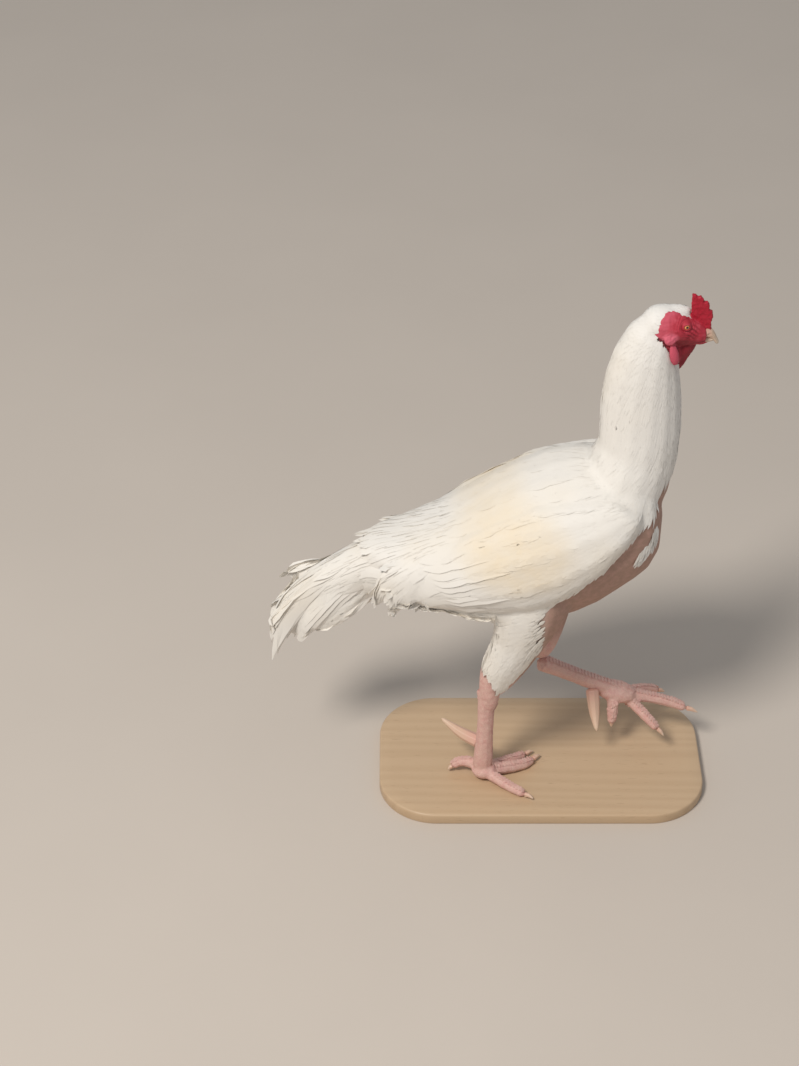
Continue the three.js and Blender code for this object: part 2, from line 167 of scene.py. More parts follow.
def modified(
    mesh: Mesh, kind: str, settings: dict[str, Any], inputs: dict[str, Any] | None = None
) -> Mesh:
    """Runs one modifier on a mesh.

    Args:
        mesh: The mesh, which is used up.
        kind: The modifier's type.
        settings: Its properties.
        inputs: Values for the inputs of its node tree, by socket identifier.

    Returns:
        The plain mesh that comes out.
    """
    thing = added("work", mesh)
    modifier = thing.modifiers.new("work", kind)
    for name, value in settings.items():
        setattr(modifier, name, value)
    for identifier, value in (inputs or {}).items():
        modifier[identifier] = value
    made = bpy.data.meshes.new_from_object(thing.evaluated_get(bpy.context.evaluated_depsgraph_get()))
    bpy.data.objects.remove(thing)
    bpy.data.meshes.remove(mesh)
    return made


@dataclass
class Shell:
    """A closed mesh in millimetres whose faces all have the same number of corners."""

    vertices: Array
    faces: Array

    @classmethod
    def of_node(cls, name: str, grow: float = 0.0) -> "Shell":
        """A merged copy of a solid.

        Args:
            name: The solid's node.
            grow: How far the copy swells along its normals.

        Returns:
            The copy as triangles.
        """
        work = bmesh.new()
        work.from_mesh(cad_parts[name].data)
        bmesh.ops.remove_doubles(work, verts=work.verts, dist=1e-6)
        shell = cls.drained(work)
        shell.vertices = shell.vertices / MM
        return cls(shell.vertices + shell.normals() * grow, shell.faces)

    @classmethod
    def ball(cls, centre: Array, radii: Sequence[float], turns: int = 32) -> "Shell":
        """A closed ellipsoid of triangles."""
        work = bmesh.new()
        bmesh.ops.create_uvsphere(work, u_segments=turns, v_segments=turns // 2, radius=1.0)
        shell = cls.drained(work)
        return cls(shell.vertices * np.asarray(radii) + centre, shell.faces)

    @classmethod
    def drained(cls, work: bmesh.types.BMesh) -> "Shell":
        """The triangles of a work mesh, which is freed."""
        bmesh.ops.triangulate(work, faces=work.faces)
        points = np.array([v.co[:] for v in work.verts])
        faces = np.array([[v.index for v in f.verts] for f in work.faces])
        work.free()
        return cls(points, faces)

    @classmethod
    def join(cls, shells: Sequence["Shell"]) -> "Shell":
        """One shell that holds all the given ones side by side."""
        starts = np.cumsum([0] + [len(s.vertices) for s in shells[:-1]])
        faces = np.concatenate([s.faces + start for s, start in zip(shells, starts)])
        return cls(np.concatenate([s.vertices for s in shells]), faces)

    def to_mesh(self, name: str) -> Mesh:
        """The mesh of this shell, in metres."""
        return mesh_of(name, self.vertices, [self.faces])

    def remeshed(self, voxel: float) -> "Shell":
        """The outer surface of everything in the shell, as even quads of about voxel across."""
        mesh = modified(self.to_mesh("work"), "REMESH", {"mode": "VOXEL", "voxel_size": voxel * MM})
        vertices = np.empty(len(mesh.vertices) * 3)
        mesh.vertices.foreach_get("co", vertices)
        corners = np.empty(len(mesh.loops), int)
        mesh.loops.foreach_get("vertex_index", corners)
        bpy.data.meshes.remove(mesh)
        return Shell(vertices.reshape(-1, 3) / MM, corners.reshape(-1, 4)).cleaned(0.004)

    def pieces(self) -> Array:
        """A label for each vertex, the same all over one connected piece."""
        label = np.arange(len(self.vertices))
        edges = self.edges()
        while True:
            low = np.minimum(label[edges[:, 0]], label[edges[:, 1]])
            before = label.copy()
            np.minimum.at(label, edges[:, 0], low)
            np.minimum.at(label, edges[:, 1], low)
            label = label[label]
            if (label == before).all():
                return label

    def cleaned(self, least: float) -> "Shell":
        """The shell without inner bubbles and crumbs.

        Args:
            least: The smallest share of the whole volume that a piece may have.

        Returns:
            The pieces that are large enough.
        """
        label = self.pieces()
        corners = self.vertices[self.faces]
        volume = np.einsum("ij,ij->i", corners.mean(axis=1), self.face_normals()) / 6.0
        held = np.bincount(label[self.faces[:, 0]], weights=volume, minlength=len(label))
        use = (held > least * held.sum())[label]
        renumber = np.cumsum(use) - 1
        return Shell(self.vertices[use], renumber[self.faces[use[self.faces[:, 0]]]])

    def tree(self) -> BVHTree:
        """A search tree over the faces."""
        return BVHTree.FromPolygons(self.vertices.tolist(), self.faces.tolist())

    def gaps(self, points: Array) -> Array:
        """How far each point lies from the shell."""
        tree = self.tree()
        return np.array([tree.find_nearest(point)[3] for point in points.tolist()])

    def edges(self) -> Array:
        """Every pair of neighbouring corners, once for each face that it borders."""
        following = np.roll(self.faces, -1, axis=1)
        return np.stack([self.faces.ravel(), following.ravel()], axis=1)

    def normals(self) -> Array:
        """The outward direction at each vertex."""
        facing, count = self.face_normals(), len(self.vertices)
        return unit(sum(gathered(corner, facing, count) for corner in self.faces.T))

    def face_normals(self) -> Array:
        """The outward direction of each face, as long as twice its area."""
        corners = self.vertices[self.faces]
        return np.cross(corners[:, 2] - corners[:, 0], corners[:, -1] - corners[:, 1])

    def relaxed(self, rounds: int, hold: float = -0.53) -> "Shell":
        """The shell with its ripples evened out.

        Args:
            rounds: How many times each vertex moves towards its neighbours.
            hold: The share of the way back out after each move, which keeps the volume.

        Returns:
            A smoother shell with the same faces.
        """
        edges = self.edges()
        count = np.maximum(np.bincount(edges[:, 0], minlength=len(self.vertices)), 1)[:, None]
        points = self.vertices.copy()
        for turn in range(rounds * 2):
            total = gathered(edges[:, 0], points[edges[:, 1]], len(points))
            points += (total / count - points) * (hold if turn % 2 else 0.5)
        return Shell(points, self.faces)

    def moved(self, offset: Array) -> "Shell":
        """The shell with each vertex moved along its normal by its own distance."""
        return Shell(self.vertices + self.normals() * offset[:, None], self.faces)


def mesh_of(name: str, vertices: Array, face_sets: Sequence[Array]) -> Mesh:
    """Builds a mesh from arrays.

    Args:
        name: Name of the mesh.
        vertices: Points in millimetres.
        face_sets: Arrays of faces; the faces of one array have equally many corners.

    Returns:
        The mesh, in metres.
    """
    mesh = bpy.data.meshes.new(name)
    mesh.vertices.add(len(vertices))
    mesh.vertices.foreach_set("co", (vertices * MM).astype(np.float32).ravel())
    sizes = np.concatenate([np.full(len(faces), faces.shape[1]) for faces in face_sets])
    corners = np.concatenate([faces.ravel() for faces in face_sets])
    mesh.loops.add(len(corners))
    mesh.loops.foreach_set("vertex_index", corners.astype(np.int32))
    mesh.polygons.add(len(sizes))
    mesh.polygons.foreach_set("loop_start", (np.cumsum(sizes) - sizes).astype(np.int32))
    mesh.update(calc_edges=True)
    mesh.validate()
    return mesh


def tube(rings: int, around: int) -> tuple[Array, Array]:
    """The quads of a tube and its two end faces, as numbers of corners laid ring by ring."""
    near = np.arange(around)
    follow = (near + 1) % around
    step = np.stack([near, follow, follow + around, near + around], axis=1)
    quads = np.concatenate([step + row * around for row in range(rings - 1)])
    return quads, np.stack([near[::-1], near + (rings - 1) * around])


def store_values(mesh: Mesh, name: str, values: Array | float) -> None:
    """Stores a number at each vertex."""
    store = mesh.attributes.new(name, "FLOAT", "POINT")
    store.data.foreach_set("value", np.full(len(mesh.vertices), values, np.float32))


def smooth_shaded(mesh: Mesh, crease: float | None = None) -> None:
    """Shades a mesh smoothly, with sharp edges where it bends by more than crease degrees."""
    mesh.polygons.foreach_set("use_smooth", [True] * len(mesh.polygons))
    if crease is not None:
        mesh.set_sharp_from_angle(angle=math.radians(crease))


def place(name: str, mesh: Mesh, material: Material) -> Thing:
    """Adds a finished piece to the scene.

    Args:
        name: The piece's name.
        mesh: Its mesh, in place.
        material: Its finish.

    Returns:
        The piece, riding on the body.
    """
    thing = bpy.data.objects.new(name, mesh)
    mesh.name = name
    bpy.context.collection.objects.link(thing)
    mesh.materials.clear()
    mesh.materials.append(material)
    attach(thing, BODY)
    LOG.info("%s: %d faces", name, len(mesh.polygons))
    return thing


class Surface:
    """A shell that answers where its nearest point is and which way it faces there."""

    def __init__(self, shell: Shell) -> None:
        """Keeps the shell and sorts its faces for searching."""
        self.shell = shell
        self.tree = shell.tree()
        self.facing = unit(shell.normals()[shell.faces].mean(axis=1))

    def nearest(self, points: Array) -> tuple[Array, Array, Array]:
        """The nearest places on the surface.

        Args:
            points: Places in millimetres.

        Returns:
            The nearest points, the smooth normals there, and the distances.
        """
        found = [self.tree.find_nearest(p) for p in points.tolist()]
        places = np.array([f[0][:] for f in found])
        index = np.array([f[2] for f in found])
        return places, self.facing[index], np.array([f[3] for f in found])

    def thickness(self, limit: float) -> Array:
        """How deep the body is behind each vertex, up to limit."""
        normals = self.shell.normals()
        depth = np.full(len(normals), limit)
        starts = self.shell.vertices - normals * 0.2
        for i, (start, inward) in enumerate(zip(starts.tolist(), (-normals).tolist())):
            hit = self.tree.ray_cast(start, inward, limit)
            if hit[3] is not None:
                depth[i] = hit[3]
        return depth


# ---------------------------------------------------------------- node trees


def _math(operation: str, swapped: bool = False, clamp: bool = False) -> Callable[..., "Wire"]:
    """A method of Wire that adds a Math node, with the wire itself last where swapped."""

    def method(self: "Wire", *others: Any) -> "Wire":
        """The node's output."""
        values = (*others, self) if swapped else (self, *others)
        settings = {"operation": operation, "use_clamp": clamp}
        return self.sheet.node("ShaderNodeMath", settings, dict(enumerate(values)))

    return method


@dataclass(eq=False)
class Wire:
    """A socket of a node tree whose arithmetic adds Math nodes."""

    sheet: "Sheet"
    socket: bpy.types.NodeSocket

    __add__, __radd__ = _math("ADD"), _math("ADD", swapped=True)
    __sub__, __rsub__ = _math("SUBTRACT"), _math("SUBTRACT", swapped=True)
    __mul__, __rmul__ = _math("MULTIPLY"), _math("MULTIPLY", swapped=True)
    __truediv__ = _math("DIVIDE")
    sine, size = _math("SINE"), _math("ABSOLUTE")
    _held = _math("ADD", clamp=True)

    def clamped(self) -> "Wire":
        """The value held between 0 and 1."""
        return self._held(0.0)


class Sheet:
    """A node tree being written."""

    def __init__(self, tree: bpy.types.NodeTree) -> None:
        """Starts on an empty tree."""
        self.tree = tree
        tree.nodes.clear()

    def feed(self, node: bpy.types.Node, sockets: dict[int | str, Any]) -> None:
        """Gives a node's inputs, by name or number, their wires or values."""
        for key, value in sockets.items():
            if isinstance(value, Wire):
                self.tree.links.new(value.socket, node.inputs[key])
            else:
                node.inputs[key].default_value = value

    def node(
        self, kind: str, settings: dict[str, Any] | None = None,
        sockets: dict[int | str, Any] | None = None, output: int | str = 0,
    ) -> Wire:
        """Adds any node.

        Args:
            kind: The node's type.
            settings: Its properties, set first.
            sockets: Values or wires for its inputs, by name or number.
            output: Which output to return.

        Returns:
            The chosen output.
        """
        node = self.tree.nodes.new(kind)
        for name, value in (settings or {}).items():
            setattr(node, name, value)
        self.feed(node, sockets or {})
        return Wire(self, node.outputs[output])


class Paint(Sheet):
    """A procedural finish around one Principled shader."""

    def __init__(self, name: str, **constants: float) -> None:
        """Starts a material.

        Args:
            name: Name of the material.
            constants: Values for the shader's own sockets, with _ for a space.
        """
        self.material = bpy.data.materials.new(name)
        self.material.use_nodes = True
        super().__init__(self.material.node_tree)
        self.shader = self.tree.nodes.new("ShaderNodeBsdfPrincipled")
        out = self.tree.nodes.new("ShaderNodeOutputMaterial")
        self.tree.links.new(self.shader.outputs[0], out.inputs[0])
        self.feed(self.shader, {name.replace("_", " "): value for name, value in constants.items()})

    def place(self) -> Wire:
        """The point of the surface, in millimetres."""
        spot = self.node("ShaderNodeTexCoord", output="Object")
        return self.node("ShaderNodeVectorMath", {"operation": "SCALE"}, {0: spot, 3: 1.0 / MM})

    def axes(self, vector: Wire) -> tuple[Wire, Wire, Wire]:
        """The three numbers of a vector."""
        split = self.node("ShaderNodeSeparateXYZ", sockets={0: vector})
        return tuple(Wire(self, split.socket.node.outputs[i]) for i in range(3))

    def attribute(self, name: str) -> Wire:
        """A value stored on the mesh."""
        return self.node("ShaderNodeAttribute", {"attribute_name": name}, output="Fac")

    def noise(self, vector: Wire, size: float, detail: float = 2.0, rough: float = 0.5) -> Wire:
        """Noise whose swells are size millimetres apart."""
        sockets = {"Vector": vector, "Scale": 1.0 / size, "Detail": detail, "Roughness": rough}
        return self.node("ShaderNodeTexNoise", sockets=sockets, output="Fac")

    def step(self, value: Wire, low: float, high: float) -> Wire:
        """A smooth step from 0 at low to 1 at high."""
        settings = {"interpolation_type": "SMOOTHSTEP"}
        flipped = low > high
        first, last = (high, low) if flipped else (low, high)
        sockets = {0: value, 1: first, 2: last, 3: 1.0 if flipped else 0.0, 4: 0.0 if flipped else 1.0}
        return self.node("ShaderNodeMapRange", settings, sockets)

    def mix(self, factor: Wire | float, first: Wire | Colour, second: Wire | Colour) -> Wire:
        """A blend of two colours."""
        ends = [c if isinstance(c, Wire) else (*c, 1.0) for c in (first, second)]
        sockets = {0: factor, 6: ends[0], 7: ends[1]}
        return self.node("ShaderNodeMix", {"data_type": "RGBA"}, sockets, output=2)

    def finish(
        self, colour: Wire, rough: Wire | float, height: Wire | None = None,
        depth: float = 0.2, strength: float = 1.0,
    ) -> Material:
        """Wires the surface.

        Args:
            colour: The base colour.
            rough: The roughness.
            height: Relief from 0 to 1, or None.
            depth: Height of the relief in millimetres.
            strength: How much of the relief shows.

        Returns:
            The finished material.
        """
        self.feed(self.shader, {"Base Color": colour, "Roughness": rough})
        if height is not None:
            sockets = {"Height": height, "Distance": depth * MM, "Strength": strength}
            self.feed(self.shader, {"Normal": self.node("ShaderNodeBump", sockets=sockets)})
        return self.material


class Rule(Sheet):
    """A Geometry Nodes tree with named inputs, run once on an object."""

    def __init__(self, name: str) -> None:
        """Starts a tree with a geometry input and output."""
        super().__init__(bpy.data.node_groups.new(name, "GeometryNodeTree"))
        for way in ("INPUT", "OUTPUT"):
            self.tree.interface.new_socket("Geometry", in_out=way, socket_type="NodeSocketGeometry")
        self.values: dict[str, Any] = {}
        self.entry = self.tree.nodes.new("NodeGroupInput")

    def start(self) -> Wire:
        """The geometry that comes in."""
        return Wire(self, self.entry.outputs[0])

    def size(self, name: str, value: float) -> Wire:
        """A named number of the tree."""
        kind = "NodeSocketInt" if isinstance(value, int) else "NodeSocketFloat"
        made = self.tree.interface.new_socket(name, in_out="INPUT", socket_type=kind)
        self.values[made.identifier] = value
        return Wire(self, self.entry.outputs[name])

    def vector(self, x: Any, y: Any, z: Any) -> Wire:
        """A vector from three values."""
        return self.node("ShaderNodeCombineXYZ", sockets={0: x, 1: y, 2: z})

    def run(self, result: Wire, source: Mesh, material: Material) -> Mesh:
        """Closes the tree and applies it.

        Args:
            result: The geometry to give out.
            source: The mesh to work on, which is used up.
            material: The material of the result.

        Returns:
            A plain mesh.
        """
        real = self.node("GeometryNodeRealizeInstances", sockets={0: result})
        dressed = self.node("GeometryNodeSetMaterial", sockets={"Geometry": real, "Material": material})
        self.feed(self.tree.nodes.new("NodeGroupOutput"), {0: dressed})
        return modified(source, "NODES", {"node_group": self.tree}, self.values)


# ---------------------------------------------------------------- the bird's form


@dataclass(frozen=True)
class FaceEdge:
    """Where the bare face ends and the feathers of the nape and crown begin, seen from the side."""

    rear: float = 12.2
    level: float = 22.0
    fall: float = 0.78
    crown_front: float = 47.0
    crown_peak: float = 33.0
    crown_half: float = 9.4
    crown_lean: float = 5.2
    crown_curve: float = 0.045
    throat_level: float = -27.0

    def back(self, points: Array) -> Array:
        """How far each point lies in front of the edge, in millimetres."""
        low, _ = box_of("head")
        drop = np.maximum(low[2] + self.level - points[:, 2], 0.0)
        under = self.rear + np.sqrt((self.fall * drop) ** 2 + 4.0) - 2.0
        out = np.maximum(np.abs(points[:, 1] - self.crown_lean) - self.crown_half, 0.0)
        over = np.where(out > 0, self.crown_peak - np.sqrt(out / self.crown_curve), self.crown_front)
        return points[:, 0] - low[0] - np.where(drop > 0, under, np.maximum(over, self.rear))

    def bare(self, points: Array) -> Array:
        """How much of the face's bare skin each point has, from 0 to 1."""
        low, _ = box_of("head")
        above = ease(points[:, 2] - low[2], self.throat_level, self.throat_level + 6.0)
        return ease(self.back(points), -4.0, -2.0) * above


@dataclass(frozen=True)
class BareBreast:
    """The thinly feathered keel and the fronts and inner sides of the thighs, where dusky skin shows; its
    dusky colour stands partly for painted shade on the underside and between the thighs.
    """

    upper: Spot = (0.957, 0.5, 0.862)
    lower: Spot = (0.629, 0.5, 0.340)
    rear: Pair = (0.54, 0.63)
    blur: float = 6.0
    thigh_upper: Spot = (0.90, 0.5, 0.76)
    thigh_lower: Spot = (0.53, 0.5, 0.42)
    thigh_top: float = 262.0

    def share(self, points: Array) -> Array:
        """How bare each point is, from 0 to 1."""
        wave = 2.5 * grain(points, 14.0)
        depth = share_of(points, "trunk", 0)
        ahead = self.ahead(points, inside("trunk", self.upper), inside("trunk", self.lower)) + wave
        keel = ease(ahead, 0.0, self.blur) * ease(depth, *self.rear)
        return np.maximum(keel, self.thigh(points, wave))

    def ahead(self, points: Array, top: Array, bottom: Array) -> Array:
        """How far each point lies in front of the line between two places, seen from the side."""
        along = unit((top - bottom)[None, [0, 2]])[0]
        return (points[:, [0, 2]] - bottom[[0, 2]]) @ np.array([along[1], -along[0]])

    def thigh(self, points: Array, wave: Array) -> Array:
        """How bare each point of the thighs is: their fronts and the sides that face each other, where the
        dusky skin also stands for the shade between the legs.
        """
        share = np.zeros(len(points))
        for side in Side:
            node = f"thigh_{side.word}"
            low, high = box_of(node)
            near = np.all((points > low - 6.0) & (points < high + 6.0), axis=1)
            near &= points[:, 2] < self.thigh_top
            ahead = self.ahead(points, inside(node, self.thigh_upper), inside(node, self.thigh_lower))
            front = ease(ahead + wave, 0, 7)
            level = np.clip(share_of(points, node, 2), 0.0, 1.0)
            middle = side.value * (34.0 - 16.0 * (1.0 - level) * (side is Side.LEFT))
            inner = ease((points[:, 1] - middle) * side.value + wave, 1.0, -7.0)
            share = np.where(near, np.maximum(front, inner), share)
        return share


@dataclass
class Form:
    """The outer surface of the plumage, with the solid that each part of it comes from."""

    voxel: float = 2.2
    swell: float = 0.5
    rounds: int = 24
    dip: float = 1.2
    melt: int = 60
    search: float = 8.0
    crown: Spot = (0.49, 0.57, 0.865)
    crown_radii: Spot = (16.0, 7.5, 5.3)
    edge: FaceEdge = field(default_factory=FaceEdge)
    nodes: tuple[str, ...] = (
        "trunk", "neck", "head", "throat", "tail", "wing_right", "wing_left",
        "flight_right", "flight_left", "thigh_right", "thigh_left", "saddle_right", "saddle_left",
        "plume_right_1", "plume_right_2", "plume_right_3", "plume_left_1", "plume_left_2", "plume_left_3",
    )

    def __post_init__(self) -> None:
        """Joins the solids, evens them out and labels the faces."""
        parts = [Shell.of_node(name, self.swell) for name in self.nodes]
        cap = Shell.ball(inside("head", self.crown), self.crown_radii)
        self.shell = Shell.join([*parts, cap]).remeshed(self.voxel).relaxed(self.rounds)
        soft = self.shell.relaxed(self.melt, -0.5).vertices
        self.shell.vertices += (soft - self.shell.vertices) * self.melting(self.shell.vertices)[:, None]
        self.label = self.nearest_part(parts)
        self.face_label = self.label[self.shell.faces[:, 0]]
        self.shell = self.shell.moved(-self.dip * self.by_face(self.shell.vertices)).relaxed(3)
        self.surface = Surface(self.shell)
        LOG.info("form: %d faces", len(self.shell.faces))

    def nearest_part(self, parts: Sequence[Shell]) -> Array:
        """The number of the solid that lies nearest to each vertex."""
        gaps = np.full((len(parts), len(self.shell.vertices)), math.inf)
        for row, part in enumerate(parts):
            tree = part.tree()
            for i, point in enumerate(self.shell.vertices.tolist()):
                found = tree.find_nearest(point, self.search)
                if found[3] is not None:
                    gaps[row, i] = found[3]
        return gaps.argmin(axis=0)

    def melting(self, points: Array) -> Array:
        """How much the creases at each point are filled: wholly at the shoulders and along the tail."""
        paired = mirrored(points)
        off = (paired - inside("wing_left", (0.93, 0.2, 0.72))) / [44.0, 40.0, 44.0]
        shoulder = np.linalg.norm(off, axis=1)
        _, high = box_of("tail")
        return np.maximum(ease(shoulder, 1.0, 0.5), ease(points[:, 0], high[0] + 30.0, high[0] - 10.0))

    def by_face(self, points: Array) -> Array:
        """How far the plumage of the neck has sunk to the level of the bare face, from 0 to 1."""
        low, _ = box_of("head")
        above = ease(points[:, 2] - low[2], self.edge.throat_level - 4.0, self.edge.throat_level + 6.0)
        return ease(self.edge.back(points), -11.0, 3.0) * above * (self.label == self.nodes.index("neck"))

    def wears(self, *names: str) -> Array:
        """Which faces come from these solids, or from solids whose names start so."""
        wanted = [i for i, node in enumerate(self.nodes) if node.startswith(names)]
        return np.isin(self.face_label, wanted)


# ---------------------------------------------------------------- feathers


class Tip(Enum):
    """The outlines that a feather's vane can have."""

    ROUND = "round"
    LANCE = "lance"
    BLUNT = "blunt"
    LOOSE = "loose"
    SICKLE = "sickle"

    def half_width(self, t: Array) -> Array:
        """The share of the greatest half width at each share of the length."""
        widest, power, root = {
            Tip.ROUND: (0.50, 2.7, 0.35),
            Tip.LANCE: (0.34, 1.15, 0.42),
            Tip.BLUNT: (0.78, 2.9, 0.55),
            Tip.LOOSE: (0.45, 1.7, 0.35),
            Tip.SICKLE: (0.55, 1.9, 0.50),
        }[self]
        rise = root + (1.0 - root) * np.sin(np.clip(t / widest, 0, 1) * math.pi / 2)
        fall = np.clip((t - widest) / (1.0 - widest), 0, 1)
        share = np.where(t < widest, rise, 1.0 - fall**power)
        return np.maximum(share, 0.05)


@dataclass(frozen=True)
class Guide:
    """The lie and size of the feathers near one place, on both sides unless told otherwise."""

    node: str
    at: Spot
    heading: Spot
    length: float
    width: float
    paired: bool = True


@dataclass
class Flow:
    """Feather headings and sizes over the whole body, blended between guides."""

    guides: Sequence[Guide]
    blur: float = 9.0

    def __post_init__(self) -> None:
        """Sets each guide at its place, and its mirror image across the body."""
        rows = []
        for guide in self.guides:
            spot, heading = inside(guide.node, guide.at), np.array(guide.heading)
            rows.append((spot, heading, guide))
            if guide.paired:
                flip = np.array([1.0, -1.0, 1.0])
                rows.append((spot * flip, heading * flip, guide))
        self.spots = np.array([r[0] for r in rows])
        self.headings = unit(np.array([r[1] for r in rows]))
        self.sizes = np.array([[r[2].length, r[2].width] for r in rows])

    def _weights(self, points: Array) -> Array:
        """How much each guide counts at each point."""
        gap = ((points[:, None, :] - self.spots[None]) ** 2).sum(axis=2) + self.blur**2
        weight = gap**-2.0
        return weight / weight.sum(axis=1, keepdims=True)

    def heading(self, points: Array) -> Array:
        """The way that feathers point at each place."""
        return unit(self._weights(points) @ self.headings)

    def size(self, points: Array) -> tuple[Array, Array]:
        """Length and width of the feathers at each place."""
        sizes = self._weights(points) @ self.sizes
        return sizes[:, 0], sizes[:, 1]


@dataclass(frozen=True)
class Vane:
    """How one kind of feather is cut and bent."""

    tip: Tip
    rows: int = 8
    columns: tuple[float, ...] = (-1.0, 0.0, 1.0)
    thick: float = 0.5
    camber: float = 0.12
    ragged: float = 0.05

    def shares(self) -> Array:
        """Shares of the length at which the vane has a cross section, closer near the tip."""
        t = np.linspace(0.0, 1.0, self.rows)
        return t + 0.12 * np.sin(math.pi * t)


@dataclass
class Lay:
    """Where a set of feathers lies: one row of sections along each."""

    middles: Array
    faces_up: Array
    half_widths: Array
    tones: Array
    roots: Array

    @property
    def count(self) -> int:
        """How many feathers there are."""
        return len(self.middles)


# The side of the square that one feather takes on the unrolled skin.
PATCH = 0.003


def store_map(mesh: Mesh, name: str, *parts: Array) -> bpy.types.MeshUVLoopLayer:
    """Stores a map, given as the places of the faces' corners in their order."""
    layer = mesh.uv_layers.new(name=name)
    spread = np.concatenate([part.reshape(-1) for part in parts])
    layer.data.foreach_set("uv", spread.astype(np.float32))
    return layer


def vane_points(lay: Lay, vane: Vane, line: Array, rng: Chance) -> Array:
    """Sets out the corners of closed vanes.

    Args:
        lay: The places of the feathers.
        vane: Their cut.
        line: Where the corners of a section lie from one edge to the other, first above and then below.
        rng: Source of the ragged edges.

    Returns:
        The corners, feather by feather and section by section.
    """
    count, rows = lay.middles.shape[:2]
    above = len(vane.columns)
    along = unit(np.gradient(lay.middles, axis=1))
    up = unit(lay.faces_up - (lay.faces_up * along).sum(axis=2, keepdims=True) * along)
    across = np.cross(along, up)
    sign = np.where(np.arange(len(line)) < above, 1.0, -1.0)
    width = lay.half_widths[:, :, None] * np.abs(line)[None, None, :]
    rough = 1.0 + vane.ragged * rng.standard_normal((count, rows, above))
    rough = np.concatenate([rough, rough[:, :, -2:0:-1]], axis=2)
    thin = 1.0 - 0.7 * vane.shares()
    swell = vane.thick * 0.5 * ((1.0 - np.abs(line)) * sign)[None, :] * thin[:, None]
    arch = vane.camber * (0.6 - line**2)
    points = (
        lay.middles[:, :, None, :]
        + across[:, :, None, :] * (np.sign(line) * width * rough)[..., None]
        + up[:, :, None, :] * (arch[None, None, :] * lay.half_widths[:, :, None] + swell)[..., None]
    )
    return points.reshape(-1, 3)


def feather_mesh(name: str, lay: Lay, vane: Vane, unwrap: Callable[[Array], Array], rng: Chance) -> Mesh:
    """Makes closed vanes.

    Args:
        name: Name of the mesh.
        lay: The places of the feathers.
        vane: Their cut.
        unwrap: Gives each root's place on the unrolled skin, from 0 to 1 both ways.
        rng: Source of the ragged edges.

    Returns:
        One mesh of all the feathers, with the maps OFBake and Vane and the values tone and along.
    """
    line = np.array([*vane.columns, *vane.columns[-2:0:-1]])
    (count, rows), ring = lay.middles.shape[:2], len(line)
    quads, caps = tube(rows, ring)
    starts = np.arange(count)[:, None, None] * rows * ring
    face_sets = [(quads[None] + starts).reshape(-1, 4), (caps[None] + starts).reshape(-1, ring)]
    mesh = mesh_of(name, vane_points(lay, vane, line, rng), face_sets)

    shares, near = vane.shares(), np.arange(ring)
    follow, turn = (near + 1) % ring, near / ring
    corner_u = np.stack([turn, turn + 1 / ring, turn + 1 / ring, turn], axis=1)
    quad_u = np.tile(corner_u, (rows - 1, 1))
    ends_v = [[shares[r], shares[r], shares[r + 1], shares[r + 1]] for r in range(rows - 1)]
    quad_v = np.repeat(ends_v, ring, axis=0)
    swing = 2 * math.pi * (near + 0.5) / ring
    disc = 0.5 + 0.5 * np.stack([np.cos(swing), np.sin(swing)], axis=1)
    patch = np.stack([quad_u.ravel(), quad_v.ravel()], axis=1)
    spots = unwrap(lay.roots)[:, None, :]
    bake = store_map(mesh, "OFBake", spots + PATCH * patch, spots + PATCH * np.concatenate([disc, disc]))

    flat = (line + 1) / 2
    vane_u = np.tile(np.stack([flat, flat[follow], flat[follow], flat], axis=1), (rows - 1, 1)).ravel()
    pair = np.stack([vane_u, quad_v.ravel()], axis=1)
    ends = [np.stack([flat[::-1], np.zeros(ring)], axis=1), np.stack([flat, np.ones(ring)], axis=1)]
    store_map(mesh, "Vane", np.tile(pair, (count, 1)), np.tile(np.concatenate(ends), (count, 1)))
    bake.active = True

    store_values(mesh, "tone", np.repeat(lay.tones, rows * ring))
    store_values(mesh, "along", np.tile(np.repeat(shares, ring), count))
    smooth_shaded(mesh, 50.0)
    return mesh


@dataclass(frozen=True)
class Unroll:
    """An unwrap of the skin round a line through the body, one strip for each side line."""

    lines: tuple[tuple[str, Spot, Spot], ...]

    def __call__(self, points: Array) -> Array:
        """Places on the unrolled skin, filling 0 to 1 both ways."""
        places, gaps = [], []
        for node, start, end in self.lines:
            first, last = inside(node, start), inside(node, end)
            axis = last - first
            along = ((points - first) @ axis) / (axis @ axis)
            off = points - first - along[:, None] * axis
            ahead = unit(np.cross(axis, [0.0, 1.0, 0.0]))
            turn = np.arctan2(off[:, 1], off @ ahead) / (2 * math.pi) + 0.5
            places.append(np.stack([along, turn], axis=1))
            gaps.append(np.linalg.norm(off, axis=1))
        nearest = np.array(gaps).argmin(axis=0)
        chosen = np.array(places)[nearest, np.arange(len(points))]
        chosen[:, 1] = (chosen[:, 1] + nearest) / len(self.lines)
        low, high = chosen.min(axis=0), chosen.max(axis=0)
        return (chosen - low) / np.maximum(high - low, 1e-6) * (1.0 - PATCH - 1e-4)


